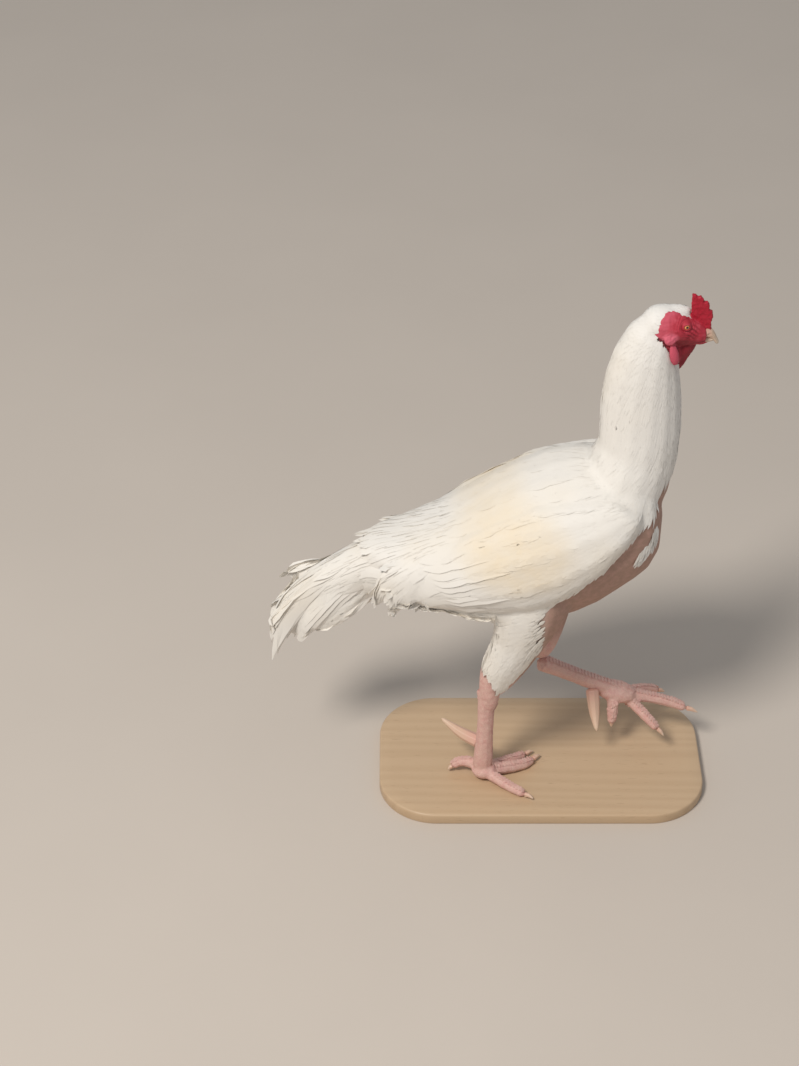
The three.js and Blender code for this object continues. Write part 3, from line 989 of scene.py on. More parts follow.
def scatter(shell: Shell, allowed: Array, gap_at: Callable[[Array], Array], rng: Chance) -> Array:
    """Spreads points over part of a shell, evenly but without a pattern.

    Args:
        shell: The shell.
        allowed: Which faces may be used.
        gap_at: Least distance between points, at given places.
        rng: Source of chance.

    Returns:
        The points.
    """
    chosen = np.flatnonzero(allowed)
    corners = shell.vertices[shell.faces[chosen]]
    across = np.cross(corners[:, 2] - corners[:, 0], corners[:, 3] - corners[:, 1])
    area = np.linalg.norm(across, axis=1) / 2
    gaps = gap_at(corners.mean(axis=1))
    weight = area / gaps**2
    tries = int(weight.sum() * 6.0) + 8
    pick = rng.choice(len(chosen), size=tries, p=weight / weight.sum())
    u, v = rng.random((2, tries, 1))
    quad = corners[pick]
    points = (quad[:, 0] * (1 - u) + quad[:, 1] * u) * (1 - v) + (quad[:, 3] * (1 - u) + quad[:, 2] * u) * v
    gaps = gaps[pick]
    cell = float(gaps.max())
    grid: dict[tuple[int, int, int], list[int]] = {}
    keys = np.floor(points / cell).astype(int)
    kept: list[int] = []
    around = [(i, j, k) for i in (-1, 0, 1) for j in (-1, 0, 1) for k in (-1, 0, 1)]
    for n in range(tries):
        x, y, z = keys[n]
        near = [m for i, j, k in around for m in grid.get((x + i, y + j, z + k), ())]
        if near and (((points[near] - points[n]) ** 2).sum(axis=1) < gaps[n] ** 2).any():
            continue
        grid.setdefault((x, y, z), []).append(n)
        kept.append(n)
    return points[kept]


def varied(sizes: Array, spread: float, limits: Pair, rng: Chance) -> Array:
    """The sizes, each made larger or smaller by chance between two limits."""
    return sizes * (1 + spread * rng.standard_normal(len(sizes))).clip(*limits)


@dataclass
class Tract:
    """One field of feathers over the form."""

    name: str
    flow: Flow
    vane: Vane
    layers: float = 6.0
    sink: float = 4.0
    lift: float = 0.4
    stiff: float = 0.25
    free: float = 1.0
    droop: float = 0.0
    scruff: float = 0.10
    roll: float = 0.012
    bristle: float = 0.03
    brink: float = 0.5
    overhang: float = 0.35
    seed: int = 1
    scale: float = 1.0
    cover: float = 0.455

    def lay(self, form: Form, roots: Array, rng: Chance) -> Lay:
        """Runs a feather from each root along the form.

        Args:
            form: The outer surface of the plumage.
            roots: Where the feathers start.
            rng: Source of the small differences between feathers.

        Returns:
            The feathers' places.
        """
        count, shares = len(roots), self.vane.shares()
        length, width = self.flow.size(roots)
        length = varied(length * self.scale, 0.12, (0.7, 1.35), rng)
        width = varied(width * self.scale, 0.08, (0.8, 1.25), rng)
        spot, up, _ = form.surface.nearest(roots)
        veer = self.scruff * rng.standard_normal((count, 1))
        way = self.flow.heading(spot)
        way = unit(way - (way * up).sum(axis=1, keepdims=True) * up)
        way = unit(way + np.cross(up, way) * veer)
        middles, ups = [spot], [up]
        loose = np.zeros(count, bool)
        for row in range(1, len(shares)):
            pace = (length * (shares[row] - shares[row - 1]) * np.where(loose, self.overhang, 1.0))[:, None]
            ahead = spot + way * pace
            ahead[:, 2] -= self.droop * pace[:, 0] * shares[row]
            snapped, normal, _ = form.surface.nearest(ahead)
            loose |= (normal * way).sum(axis=1) > self.brink
            held = np.where(loose | (shares[row] > self.free), 0.0, 1.0 - self.stiff)[:, None]
            new = ahead * (1 - held) + snapped * held
            up = unit(up * (0.35 + 0.65 * (1 - held)) + normal * held)
            run = unit(new - spot)
            wish = self.flow.heading(new)
            wish = wish - (wish * up).sum(axis=1, keepdims=True) * up
            way = unit(run * (0.55 + self.stiff) + unit(wish) * np.where(held > 0, 0.45, 0.1))
            spot = new
            middles.append(spot)
            ups.append(up)
        middle, facing = np.stack(middles, axis=1), np.stack(ups, axis=1)
        height = self.sink * (shares[None] - 1.0) + self.lift * shares[None] ** 2
        height = height + self.bristle * rng.standard_normal((count, 1)) * self.scale
        middle = middle + facing * height[..., None]
        along = unit(np.gradient(middle, axis=1))
        tilt = self.roll * rng.standard_normal((count, 1, 1))
        facing = unit(facing + np.cross(along, facing) * tilt)
        half = 0.5 * width[:, None] * self.vane.tip.half_width(shares)[None]
        return Lay(middle, facing, half, rng.random(count), roots)

    def gap(self, points: Array) -> Array:
        """Least distance between roots, so that the vanes lie in enough layers."""
        length, width = self.flow.size(points)
        return np.sqrt(self.cover * length * width / self.layers) * self.scale

    def grow(self, form: Form, allowed: Array, unroll: Unroll) -> Mesh:
        """Makes the tract's feathers on the allowed faces of the form."""
        rng = np.random.default_rng(self.seed)
        roots = scatter(form.shell, allowed, self.gap, rng)
        return feather_mesh(self.name, self.lay(form, roots, rng), self.vane, unroll, rng)


# ---------------------------------------------------------------- finishes


@dataclass(frozen=True)
class Plumage:
    """White feathers that turn buff on the wing, and take a painted cooler shade towards the front of the
    neck and breast.
    """

    name: str = "white_plumage"
    white: Colour = (0.80, 0.76, 0.70)
    cool: Colour = (0.79, 0.765, 0.73)
    warm: Colour = (0.80, 0.735, 0.635)
    buff: Colour = (0.80, 0.665, 0.47)
    down: Colour = (0.74, 0.69, 0.61)
    shade: float = 0.08
    root_shade: float = 0.05
    buff_at: Spot = (0.45, 0.5, 0.62)
    buff_reach: Pair = (62.0, 46.0)
    buff_share: float = 0.75
    barbs: float = 26.0

    def make(self) -> Material:
        """Builds the finish."""
        paint = Paint(self.name, Specular_IOR_Level=0.2, Sheen_Weight=0.1)
        spot = paint.place()
        x, _, z = paint.axes(spot)
        centre = inside("wing_left", self.buff_at)
        off_x, off_z = (x - centre[0]) / self.buff_reach[0], (z - centre[2]) / self.buff_reach[1]
        patch = paint.step(off_x * off_x + off_z * off_z, 1.3, 0.1)
        mottle = paint.noise(spot, 16.0, 3.0)
        drift = paint.noise(spot, 60.0, 1.0)
        _, high = box_of("trunk")
        # Painted shade: towards the front of the bird, which faces away from the key light, the white turns
        # cooler.
        forward = paint.step(x, high[0] - 70.0, high[0])
        colour = paint.mix(paint.step(drift, 0.35, 0.75) * 0.6, self.white, self.warm)
        colour = paint.mix(forward * 0.7, colour, self.cool)
        colour = paint.mix((patch * (0.35 + mottle * 0.9) * self.buff_share).clamped(), colour, self.buff)
        tone = paint.attribute("tone")
        along = paint.attribute("along")
        # Painted shade: towards each root the colour turns to the greyer down, partly the down's own colour
        # and partly shade where the roots lie under other feathers.
        colour = paint.mix(paint.step(along, 0.5, 0.0) * self.root_shade, colour, self.down)
        dim = (1.0 - tone) * self.shade
        colour = paint.mix(dim, colour, self.down)
        drawn = paint.node("ShaderNodeUVMap", {"uv_map": "Vane"})
        u, v, _ = paint.axes(drawn)
        off_rib = (u - 0.5).size()
        lines = ((v * self.barbs - off_rib * 9.0 + tone * 3.0) * (2 * math.pi)).sine()
        height = lines * 0.35 + paint.step(off_rib, 0.12, 0.0) * 0.9
        rough = 0.52 + tone * 0.12
        return paint.finish(colour, rough, height, depth=0.12, strength=0.12)


# The fold region holds the painted shade of the face's creases.
REGIONS = ("red", "fold", "throat", "comb", "lobe", "ear", "breast", "leg")


@dataclass(frozen=True)
class Flesh:
    """Skin: cream under the feathers, dusky on the breast and thighs where that dusky colour is partly
    painted shade, red on the face with painted shade in its creases, pink and scaled on the legs.
    """

    hidden: Colour = (0.74, 0.70, 0.62)
    breast: Colour = (0.375, 0.235, 0.18)
    face: Colour = (0.46, 0.030, 0.052)
    pale_face: Colour = (0.60, 0.105, 0.14)
    # Deep red of the throat, also used as the painted shade in the face's creases.
    dark_face: Colour = (0.20, 0.008, 0.016)
    comb: Colour = (0.40, 0.008, 0.026)
    comb_edge: Colour = (0.52, 0.025, 0.05)
    lobe: Colour = (0.58, 0.085, 0.13)
    ear: Colour = (0.62, 0.115, 0.165)
    leg: Colour = (0.69, 0.44, 0.375)
    leg_pink: Colour = (0.66, 0.37, 0.325)
    leg_pale: Colour = (0.76, 0.57, 0.47)
    seam: Colour = (0.46, 0.24, 0.19)

    def make(self) -> Material:
        """Builds the finish from the regions stored on the skin."""
        paint = Paint("bird_skin", Specular_IOR_Level=0.4)
        spot = paint.place()
        region = {name: paint.attribute(name) for name in REGIONS}
        broad, fine = paint.noise(spot, 5.0, 3.0), paint.noise(spot, 1.1, 2.0)
        edges = {"feature": "DISTANCE_TO_EDGE"}
        cells, grains = (
            paint.node("ShaderNodeTexVoronoi", kind, {"Vector": spot, "Scale": 1 / size}, "Distance")
            for kind, size in ((edges, 2.3), ({}, 0.9))
        )
        colour = paint.mix(region["breast"], self.hidden, self.breast)
        colour = paint.mix(region["breast"] * paint.step(broad, 0.35, 0.7) * 0.25, colour, self.leg_pink)
        red = paint.mix(paint.step(broad, 0.45, 0.75) * 0.5, self.face, self.pale_face)
        # Painted shade: the fold region darkens the face in its creases, round the eyes, on the cheeks and
        # down the gullet.
        red = paint.mix(region["fold"], red, self.dark_face)
        red = paint.mix(paint.step(fine, 0.55, 0.8) * 0.3, red, self.pale_face)
        colour = paint.mix(region["red"], colour, red)
        colour = paint.mix(region["throat"] * 0.75, colour, self.dark_face)
        comb = paint.mix(paint.step(broad, 0.4, 0.8) * 0.6, self.comb, self.comb_edge)
        colour = paint.mix(region["comb"], colour, comb)
        colour = paint.mix(region["lobe"], colour, self.lobe)
        colour = paint.mix(region["ear"], colour, self.ear)
        leg = paint.mix(paint.step(broad, 0.4, 0.7), self.leg, self.leg_pink)
        leg = paint.mix(paint.step(fine, 0.5, 0.8) * 0.5, leg, self.leg_pale)
        leg = paint.mix(paint.step(cells, 0.10, 0.0) * 0.3, leg, self.seam)
        colour = paint.mix(region["leg"], colour, leg)
        bare = (1.0 - region["leg"]).clamped()
        height = region["leg"] * paint.step(cells, 0.0, 0.22) + bare * (1.0 - grains) * 0.5 + fine * 0.3
        rough = 0.60 - region["comb"] * 0.10 - region["leg"] * 0.08 + fine * 0.1
        return paint.finish(colour, rough, height, depth=0.3, strength=0.5)


@dataclass(frozen=True)
class Horn:
    """Horn that is darker or pinker at its root and paler at its tip."""

    name: str
    root: Colour
    middle: Colour
    tip: Colour
    gloss: float = 0.32

    def make(self) -> Material:
        """Builds the finish; tipward on the mesh runs from 0 at the root to 1 at the tip."""
        paint = Paint(self.name, Specular_IOR_Level=0.5)
        spot = paint.place()
        tipward = paint.attribute("tipward")
        cloud, streak = paint.noise(spot, 3.0, 3.0), paint.noise(spot, 0.8, 2.0)
        shift = tipward + (cloud - 0.5) * 0.35
        colour = paint.mix(paint.step(shift, 0.0, 0.45), self.root, self.middle)
        colour = paint.mix(paint.step(shift, 0.45, 1.0), colour, self.tip)
        colour = paint.mix(paint.step(streak, 0.5, 0.85) * 0.25, colour, self.root)
        rings = ((tipward * 14.0 + cloud * 1.5) * (2 * math.pi)).sine()
        rough, height = self.gloss + streak * 0.15, rings * 0.3 + streak * 0.5
        return paint.finish(colour, rough, height, depth=0.1, strength=0.5)


@dataclass(frozen=True)
class Iris:
    """A wet eye with a dark pupil, an amber iris and a dark rim; ring holds millimetres from its axis."""

    pupil: float = 1.25
    rim: float = 2.9
    black: Colour = (0.006, 0.005, 0.005)
    amber: Colour = (0.80, 0.25, 0.07)
    straw: Colour = (0.86, 0.45, 0.18)
    brown: Colour = (0.10, 0.03, 0.02)

    def make(self) -> Material:
        """Builds the finish."""
        paint = Paint("bird_eye", Coat_Weight=1.0, Coat_Roughness=0.03)
        spot = paint.place()
        ring, turn = paint.attribute("ring"), paint.attribute("turn")
        threads = ((turn * 46.0 + paint.noise(spot, 1.0) * 9.0).sine() + 1.0) * 0.5
        amber = paint.mix(threads * 0.55, self.amber, self.straw)
        amber = paint.mix(paint.step(ring, self.rim - 0.6, self.rim), amber, self.brown)
        colour = paint.mix(paint.step(ring, self.pupil + 0.12, self.pupil - 0.12), amber, self.black)
        return paint.finish(colour, 0.12, threads, depth=0.03, strength=0.3)


@dataclass(frozen=True)
class Wood:
    """Pale planed board with long grain and a satin coat."""

    light: Colour = (0.56, 0.40, 0.25)
    dark: Colour = (0.44, 0.29, 0.17)
    pore: Colour = (0.30, 0.18, 0.10)
    stretch: float = 0.06
    gap: float = 15.0

    def make(self) -> Material:
        """Builds the finish."""
        paint = Paint("base_wood", Specular_IOR_Level=0.4, Coat_Weight=0.15, Coat_Roughness=0.3)
        x, y, z = paint.axes(paint.place())
        long = paint.node("ShaderNodeCombineXYZ", sockets={0: x * self.stretch, 1: y, 2: z + x * 0.01})
        sway = paint.noise(long, 70.0, 3.0)
        rings = ((y / self.gap + sway * 5.0) * (2 * math.pi)).sine() * 0.5 + 0.5
        fibre = paint.noise(long, 1.6, 4.0, 0.6)
        pores = paint.step(paint.noise(long, 0.9, 2.0), 0.66, 0.74)
        colour = paint.mix(rings * (0.10 + fibre * 0.28), self.light, self.dark)
        colour = paint.mix(pores * 0.5, colour, self.pore)
        height = fibre * 0.6 - pores * 0.6 + rings * 0.15
        return paint.finish(colour, 0.42 + fibre * 0.16, height, depth=0.12, strength=0.5)


# ---------------------------------------------------------------- skin


@dataclass(frozen=True)
class Swell:
    """A rounded hill on each side of the head, placed from the middle of the eye."""

    height: float
    off: Spot
    reach: Spot

    def rise(self, paired: Array, eye: Array) -> Array:
        """How high it is at each point, with both sides laid on the left."""
        return self.height * bump_at(paired, eye + self.off, self.reach)


@dataclass
class HeadSkin:
    """The bare head, sculpted in folds over the solids of head, throat, comb, lobes and ears."""

    voxel: float = 0.77
    swell: float = 0.75
    trim: float = 0.42
    rounds: int = 3
    gullet: Spot = (0.725, 0.5, 0.805)
    gullet_radii: Spot = (22.0, 17.0, 20.0)
    jaw: Spot = (0.15, 0.5, 0.62)
    jaw_radii: Spot = (10.0, 6.6, 4.8)
    socket: float = 5.2
    socket_depth: float = 2.3
    brow: Swell = Swell(0.8, (1.5, 0.5, 6.0), (7.5, 4.0, 2.0))
    cheek: Swell = Swell(0.9, (-9.0, 0.0, -6.5), (5.5, 6.0, 4.5))
    pouch: Swell = Swell(0.7, (-1.0, 0.5, -7.2), (5.0, 4.0, 1.9))
    # A patch of painted shade on the cheek below the eye; it colours the skin and doesn't move it.
    dimple: Swell = Swell(1.0, (-3.5, 0.0, -16.0), (9.0, 9.0, 6.5))
    wrinkle: float = 3.1
    edge: FaceEdge = field(default_factory=FaceEdge)

    def eye(self, side: Side) -> tuple[Array, Array, float]:
        """The eye's centre, its outward axis and its radius."""
        low, high = box_of(f"eye_{side.word}")
        axis = unit(np.array([0.24, side.value * 1.0, 0.10]))
        return (low + high) / 2, axis, float((high - low)[2] / 2)

    def joined(self) -> tuple[Shell, dict[str, Array], Array]:
        """Joins the solids with the gullet and the corner of the jaw.

        Returns:
            The shell, how far each of its vertices lies from each part, and the nearest part's name.
        """
        names = ["head", "throat", "comb"]
        names += [f"{part}_{side.word}" for side in Side for part in ("earlobe", "wattle")]
        parts = {name: Shell.of_node(name, self.swell) for name in names}
        parts["gullet"] = Shell.ball(inside("neck", self.gullet), self.gullet_radii)
        parts["jaw"] = Shell.ball(inside("beak_lower", self.jaw), self.jaw_radii)
        shell = Shell.join(list(parts.values())).remeshed(self.voxel).relaxed(self.rounds)
        names += ["gullet", "jaw"]
        near = {name: part.gaps(shell.vertices) for name, part in parts.items()}
        order = np.array([near[name] for name in names]).argmin(axis=0)
        return shell, near, np.array(names)[order]

    def folds(self, off: Array) -> tuple[Array, Array]:
        """The wrinkles behind and below the eye.

        Args:
            off: Places from the middle of the eye.

        Returns:
            The wrinkles' height from -1 to 1, and how far they show there from 0 to 1.
        """
        lean, slope = off @ unit(np.array([0.62, 0.0, 0.78])), off @ unit(np.array([0.78, 0.0, -0.62]))
        below = ease(slope, 4.5, 8.0) * ease(slope, 19.0, 13.0) * ease(np.abs(lean + 1.0), 8.0, 4.0)
        return np.cos(lean * 2 * math.pi / self.wrinkle + 0.5 * np.sin(slope * 0.5)), below

    def build(self) -> tuple[Shell, dict[str, Array]]:
        """Sculpts the head.

        Returns:
            The shell, and the share of each skin region at each of its vertices.
        """
        shell, near, label = self.joined()
        points, paired = shell.vertices, mirrored(shell.vertices)
        centre, axis, _ = self.eye(Side.LEFT)

        comb = ease(near["comb"], 1.6, 0.3)
        lobes = np.minimum(near["wattle_left"], near["wattle_right"])
        lobe, throat = ease(lobes, 0.9, 0.1), ease(near["throat"], 1.5, 0.2) * (1 - ease(lobes, 0.8, 0.1))
        skull = np.isin(label, ("head", "jaw")).astype(float)

        sag = np.cos(paired[:, 1] * 1.1 + points[:, 2] * 0.25 + 1.2 * grain(points, 9.0))
        sag *= label == "gullet"
        shift = 0.22 * grain(points, 3.4, 2) * (1 - comb) * (1 - 0.7 * lobe)
        shift += 0.35 * sag - self.trim - 0.7 * comb
        for swell in (self.brow, self.cheek, self.pouch):
            shift += swell.rise(paired, centre)
        folds, below = self.folds(paired - centre)
        shift += 0.5 * folds * below * skull
        rays = np.arctan2(paired[:, 2] - centre[2], paired[:, 0] - centre[0])
        radial = np.linalg.norm(np.cross(paired - centre, axis), axis=1)
        around = ease(radial, 6.0, 7.5) * ease(radial, 13.0, 9.0) * skull
        shift += 0.22 * np.sin(radial * 2.6 + 1.4 * np.sin(rays * 3.0)) * around
        ear_at = inside("earlobe_left", (0.45, 0.4, 0.75))
        ear = ease(np.linalg.norm((paired - ear_at) / [9.5, 9.0, 7.0], axis=1), 1.1, 0.65)
        shift += 0.5 * ear + 0.35 * ear * grain(points, 2.0)
        shift += 0.30 * throat * np.cos(paired[:, 1] * 1.7 + points[:, 2] * 0.12)
        shift += 0.30 * comb * grain(points, 2.8, 2)
        shift -= 1.6 * ease(self.edge.back(points), -1.5, -5.5) * (1 - comb) * (1 - lobe) * (1 - throat)
        gape = self.gape(paired)
        shift -= 0.8 * gape
        shell = shell.moved(shift)
        for side in Side:
            shell.vertices = self.hollow(shell.vertices, side)
        # Painted shade: the troughs of the wrinkles, the mouth line, a ring round the eye, the cheek patch
        # and the gullet's sags go into the fold region, which the finish paints darker.
        crease = np.clip(-folds, 0, 1) * below * 0.8 + gape + 0.35 * ease(radial, 7.6, 6.4) * skull
        red = self.edge.bare(points)
        crease += self.dimple.rise(paired, centre)
        crease = np.maximum(crease * skull, 0.35 * (label == "gullet") + 0.25 * np.clip(-sag, 0, 1))
        regions = {
            "red": np.maximum.reduce([red, comb, lobe, throat]), "fold": np.clip(crease, 0, 0.85),
            "throat": throat, "comb": comb, "lobe": lobe * (1 - ear),
            "ear": np.maximum(ear, 0.55 * ease(self.edge.back(points), 13.0, 3.0) * skull) * red,
        }
        return shell, regions

    def gape(self, paired: Array) -> Array:
        """How near each point is to the line of the mouth behind the beak."""
        low, high = box_of("beak_lower")
        front, back = np.array([low[0] + 7.0, high[2]]), np.array([low[0] - 6.0, high[2] - 1.0])
        run = back - front
        spot = paired[:, [0, 2]] - front
        share = np.clip(spot @ run / (run @ run), 0, 1)
        gap = np.linalg.norm(spot - share[:, None] * run, axis=1)
        return np.exp(-0.5 * (gap / 0.7) ** 2) * (paired[:, 1] > 1.0)

    def hollow(self, points: Array, side: Side) -> Array:
        """Sinks a round socket for an eye into the head."""
        centre, axis, _ = self.eye(side)
        off = points - centre
        depth = off @ axis
        reach = np.linalg.norm(off - depth[:, None] * axis, axis=1)
        share = ease(reach, self.socket + 1.6, self.socket - 0.6) * (depth > 0)
        sunk = np.minimum(depth, self.socket_depth)
        return points + axis * ((sunk - depth) * share)[:, None]


@dataclass
class Lids:
    """The ring of lids round an eye: a thick rim, a crease and a soft outer fold."""

    half_length: float = 2.95
    half_height: float = 2.5
    turns: int = 64
    rim: float = 0.75
    profile: tuple[Pair, ...] = (
        (0.35, -1.2), (0.0, 0.06), (0.12, 0.45), (0.45, rim * 0.9), (0.95, rim), (1.5, rim * 0.78),
        (1.9, 0.52), (2.25, 0.62), (2.8, 0.60), (3.4, 0.12), (4.0, -1.1), (1.6, -2.4),
    )
    far: float = 14.0

    def build(self, centre: Array, axis: Array, radius: float, head: Surface) -> Shell:
        """Makes the lids of one eye.

        Args:
            centre: Middle of the eyeball.
            axis: Its outward direction.
            radius: Its radius.
            head: The head's skin.

        Returns:
            A closed ring.
        """
        ahead = unit(np.array([1.0, 0.0, -0.12]) - axis * axis[0])
        above = unit(np.cross(ahead, axis) * np.sign(np.cross(ahead, axis)[2]))
        swing = np.linspace(0, 2 * math.pi, self.turns, endpoint=False)
        inner = np.stack([np.cos(swing) * self.half_length, np.sin(swing) * self.half_height], axis=1)
        inner[:, 1] *= np.where(inner[:, 1] > 0, 0.90, 1.0)
        out = unit(inner)
        rings = []
        for step, (gap, rise) in enumerate(self.profile):
            flat = inner + out * gap
            reach = np.linalg.norm(flat, axis=1)
            ball = np.sqrt(np.maximum(radius**2 - reach**2, 0.4))
            foot = centre + flat[:, :1] * ahead + flat[:, 1:] * above
            if 6 <= step <= 10:
                base = []
                for start in foot + axis * self.far:
                    hit = head.tree.ray_cast(start.tolist(), (-axis).tolist(), self.far + 8.0)
                    base.append(self.far - hit[3] if hit[3] is not None else radius * 0.5)
                blend = (step - 5) / 4.0
                level = ball * (1 - min(blend, 1.0)) + np.array(base) * min(blend, 1.0)
            else:
                level = ball
            ripple = 0.10 * np.sin(swing * 17 + step) if 3 <= step <= 8 else 0.0
            rings.append(foot + axis * (level + rise + ripple)[:, None])
        points = np.concatenate(rings)
        near, count = np.arange(self.turns), len(self.profile)
        faces = []
        after = (near + 1) % self.turns
        for step in range(count):
            this, following = step * self.turns, (step + 1) % count * self.turns
            faces.append(np.stack([this + near, this + after, following + after, following + near], axis=1))
        shell = Shell(points, np.concatenate(faces))
        facing = shell.face_normals()[4 * self.turns : 5 * self.turns] @ axis
        if facing.sum() < 0:
            shell.faces = shell.faces[:, ::-1]
        return shell


@dataclass
class LegSkin:
    """One leg's bare skin, from the end of the thigh to the toes."""

    side: Side
    voxel: float = 1.2
    swell: float = 0.75
    trim: float = 0.45
    rounds: int = 3
    knee: dict[Side, Spot] = field(
        default_factory=lambda: {Side.RIGHT: (0.105, 0.684, 0.10), Side.LEFT: (0.37, 0.17, 0.15)}
    )
    knee_radii: dict[Side, Spot] = field(
        default_factory=lambda: {Side.RIGHT: (11.5, 11.0, 40.0), Side.LEFT: (17.0, 12.0, 17.0)}
    )
    melt: int = 26

    def nodes(self) -> list[str]:
        """The solids of the leg."""
        return [f"{part}_{self.side.word}" for part in ("shank", "hallux", "toe_2", "toe_3", "toe_4")]

    def build(self) -> Shell:
        """Joins the solids to the end of the thigh, and swells the joints and pads."""
        parts = [Shell.of_node(n, self.swell) for n in self.nodes()]
        centre = inside(f"thigh_{self.side.word}", self.knee[self.side])
        parts.append(Shell.ball(centre, self.knee_radii[self.side]))
        shell = Shell.join(parts).remeshed(self.voxel).relaxed(self.rounds)
        (low, high), (first, _) = box_of(f"shank_{self.side.word}"), box_of(f"thigh_{self.side.word}")
        off = shell.vertices - [first[0] + 14.0, (low[1] + high[1]) / 2, high[2]]
        hock = np.linalg.norm(off / 22.0, axis=1)
        soft = shell.relaxed(self.melt, -0.5).vertices
        share = np.maximum(0.45, ease(hock, 1.6, 0.7))[:, None]
        shell = Shell(shell.vertices + (soft - shell.vertices) * share, shell.faces)
        bumps = 0.22 * grain(shell.vertices, 6.5, 2) + 0.06 * grain(shell.vertices, 1.8)
        return shell.moved(bumps - self.trim)


@dataclass
class Skin:
    """The bird's one skin, which stands for every solid of flesh."""

    form: Form
    breast: BareBreast
    voxel: float = 3.2
    insets: dict[str, float] = field(default_factory=lambda: {
        "trunk": 3.0, "neck": 2.6, "head": 2.2, "throat": 1.0, "tail": 6.5,
        "wing": 3.4, "flight": 3.0, "thigh": 3.4, "saddle": 4.0, "plume": 5.0,
    })
    ankle: float = 46.0
    hock_reach: Pair = (52.0, 20.0)

    def trunk(self) -> tuple[Shell, dict[str, Array]]:
        """The skin under the feathers, sunk by the depth of the coat."""
        shell = self.form.shell
        depth = np.array([self.insets[n.split("_")[0]] for n in self.form.nodes])[self.form.label]
        low, _ = box_of("thigh_right")
        depth = depth + 4.5 * ease(shell.vertices[:, 2] - low[2], self.ankle, self.ankle - 14.0)
        depth = depth + 3.5 * self.form.by_face(shell.vertices)
        bare = self.breast.share(shell.vertices)
        depth = depth * (1 - bare) + 0.6 * bare
        depth = np.minimum(depth, 0.38 * self.form.surface.thickness(30.0))
        sunk = shell.moved(-depth)
        body = Surface(Shell.of_node("trunk", -0.5))
        spot, _, _ = body.nearest(sunk.vertices)
        wings = [i for i, node in enumerate(self.form.nodes) if node.startswith(("wing", "flight"))]
        winged = np.isin(self.form.label, wings)
        sunk.vertices += (spot - sunk.vertices) * (ease(bare, 0.3, 0.8) * winged)[:, None]
        sunk = sunk.remeshed(self.voxel).relaxed(3)
        leg = np.zeros(len(sunk.vertices))
        for side in Side:
            low, high = box_of(f"shank_{side.word}")
            middle = (low + high) / 2
            hock = np.array([low[0] if side is Side.LEFT else middle[0], middle[1], high[2]])
            leg = np.maximum(leg, ease(np.linalg.norm(sunk.vertices - hock, axis=1), *self.hock_reach))
        breast = self.breast.share(sunk.vertices)
        return sunk, {"breast": breast, "red": FaceEdge().bare(sunk.vertices), "leg": leg}

    def build(self) -> Thing:
        """Makes the skin, its regions and its finish."""
        head = HeadSkin()
        face, face_regions = head.build()
        surface = Surface(face)
        lids = [Lids().build(*head.eye(side), surface) for side in Side]
        legs = [LegSkin(side).build() for side in Side]
        trunk, trunk_regions = self.trunk()
        shells = [trunk, face, *lids, *legs]
        # The lids take a little of the painted crease shade.
        values = [trunk_regions, face_regions, *({"red": 1.0, "fold": 0.12},) * 2, *({"leg": 1.0},) * 2]
        mesh = Shell.join(shells).to_mesh("skin")
        for name in REGIONS:
            parts = [np.broadcast_to(v.get(name, 0.0), len(s.vertices)) for s, v in zip(shells, values)]
            store_values(mesh, name, np.concatenate(parts))
        smooth_shaded(mesh)
        skin = place("skin", mesh, Flesh().make())
        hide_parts(*self.stands_for())
        return skin

    def stands_for(self) -> list[str]:
        """The solids of flesh."""
        names = ["trunk", "neck", "head", "throat", "comb", "tail"]
        for side in Side:
            names += [f"{part}_{side.word}" for part in ("wing", "flight", "thigh", "earlobe", "wattle")]
            names += LegSkin(side).nodes()
        return names


# ---------------------------------------------------------------- horn, eyes, scales


@dataclass
class HornPart:
    """A beak half, claw or spur as smooth horn."""

    node: str
    rooted_in: str
    voxel: float = 0.42
    rounds: int = 2
    swell: float = 0.0
    rise: float = 0.0

    def build(self, material: Material) -> Thing:
        """Makes the piece, with tipward running from its root to its tip."""
        shell = Shell.of_node(self.node, self.swell).remeshed(self.voxel).relaxed(self.rounds)
        low, high = box_of(self.rooted_in)
        reach = np.linalg.norm(shell.vertices - (low + high) / 2, axis=1)
        tipward = (reach - reach.min()) / (reach.max() - reach.min())
        shell = self.carve(shell)
        shell.vertices[:, 2] += self.rise
        mesh = shell.to_mesh(self.node)
        store_values(mesh, "tipward", tipward)
        smooth_shaded(mesh)
        piece = place(f"{self.node}_horn", mesh, material)
        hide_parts(self.node)
        return piece

    def carve(self, shell: Shell) -> Shell:
        """Leaves the horn as it is."""
        return shell


@dataclass
class Beak(HornPart):
    """The upper beak, with a nostril on each side and a hooked tip."""

    nostril: Spot = (0.20, 0.85, 0.62)
    pit: float = 1.1
    hook: Spot = (-2.0, 0.0, -3.5)

    def carve(self, shell: Shell) -> Shell:
        """Sinks the nostrils, raises a rim over each and bends the tip down."""
        paired = mirrored(shell.vertices)
        spot = inside(self.node, self.nostril)
        hole = bump_at(paired, spot, (1.5, 1.6, 0.65))
        rim = bump_at(paired, spot + [-0.3, 0.0, 1.5], (2.2, 1.8, 0.7))
        shell = shell.moved(0.4 * rim - self.pit * hole)
        low, high = box_of(self.node)
        share = ease(shell.vertices[:, :1], low[0], high[0]) ** 2
        shell.vertices = shell.vertices + share * np.array(self.hook)
        return shell


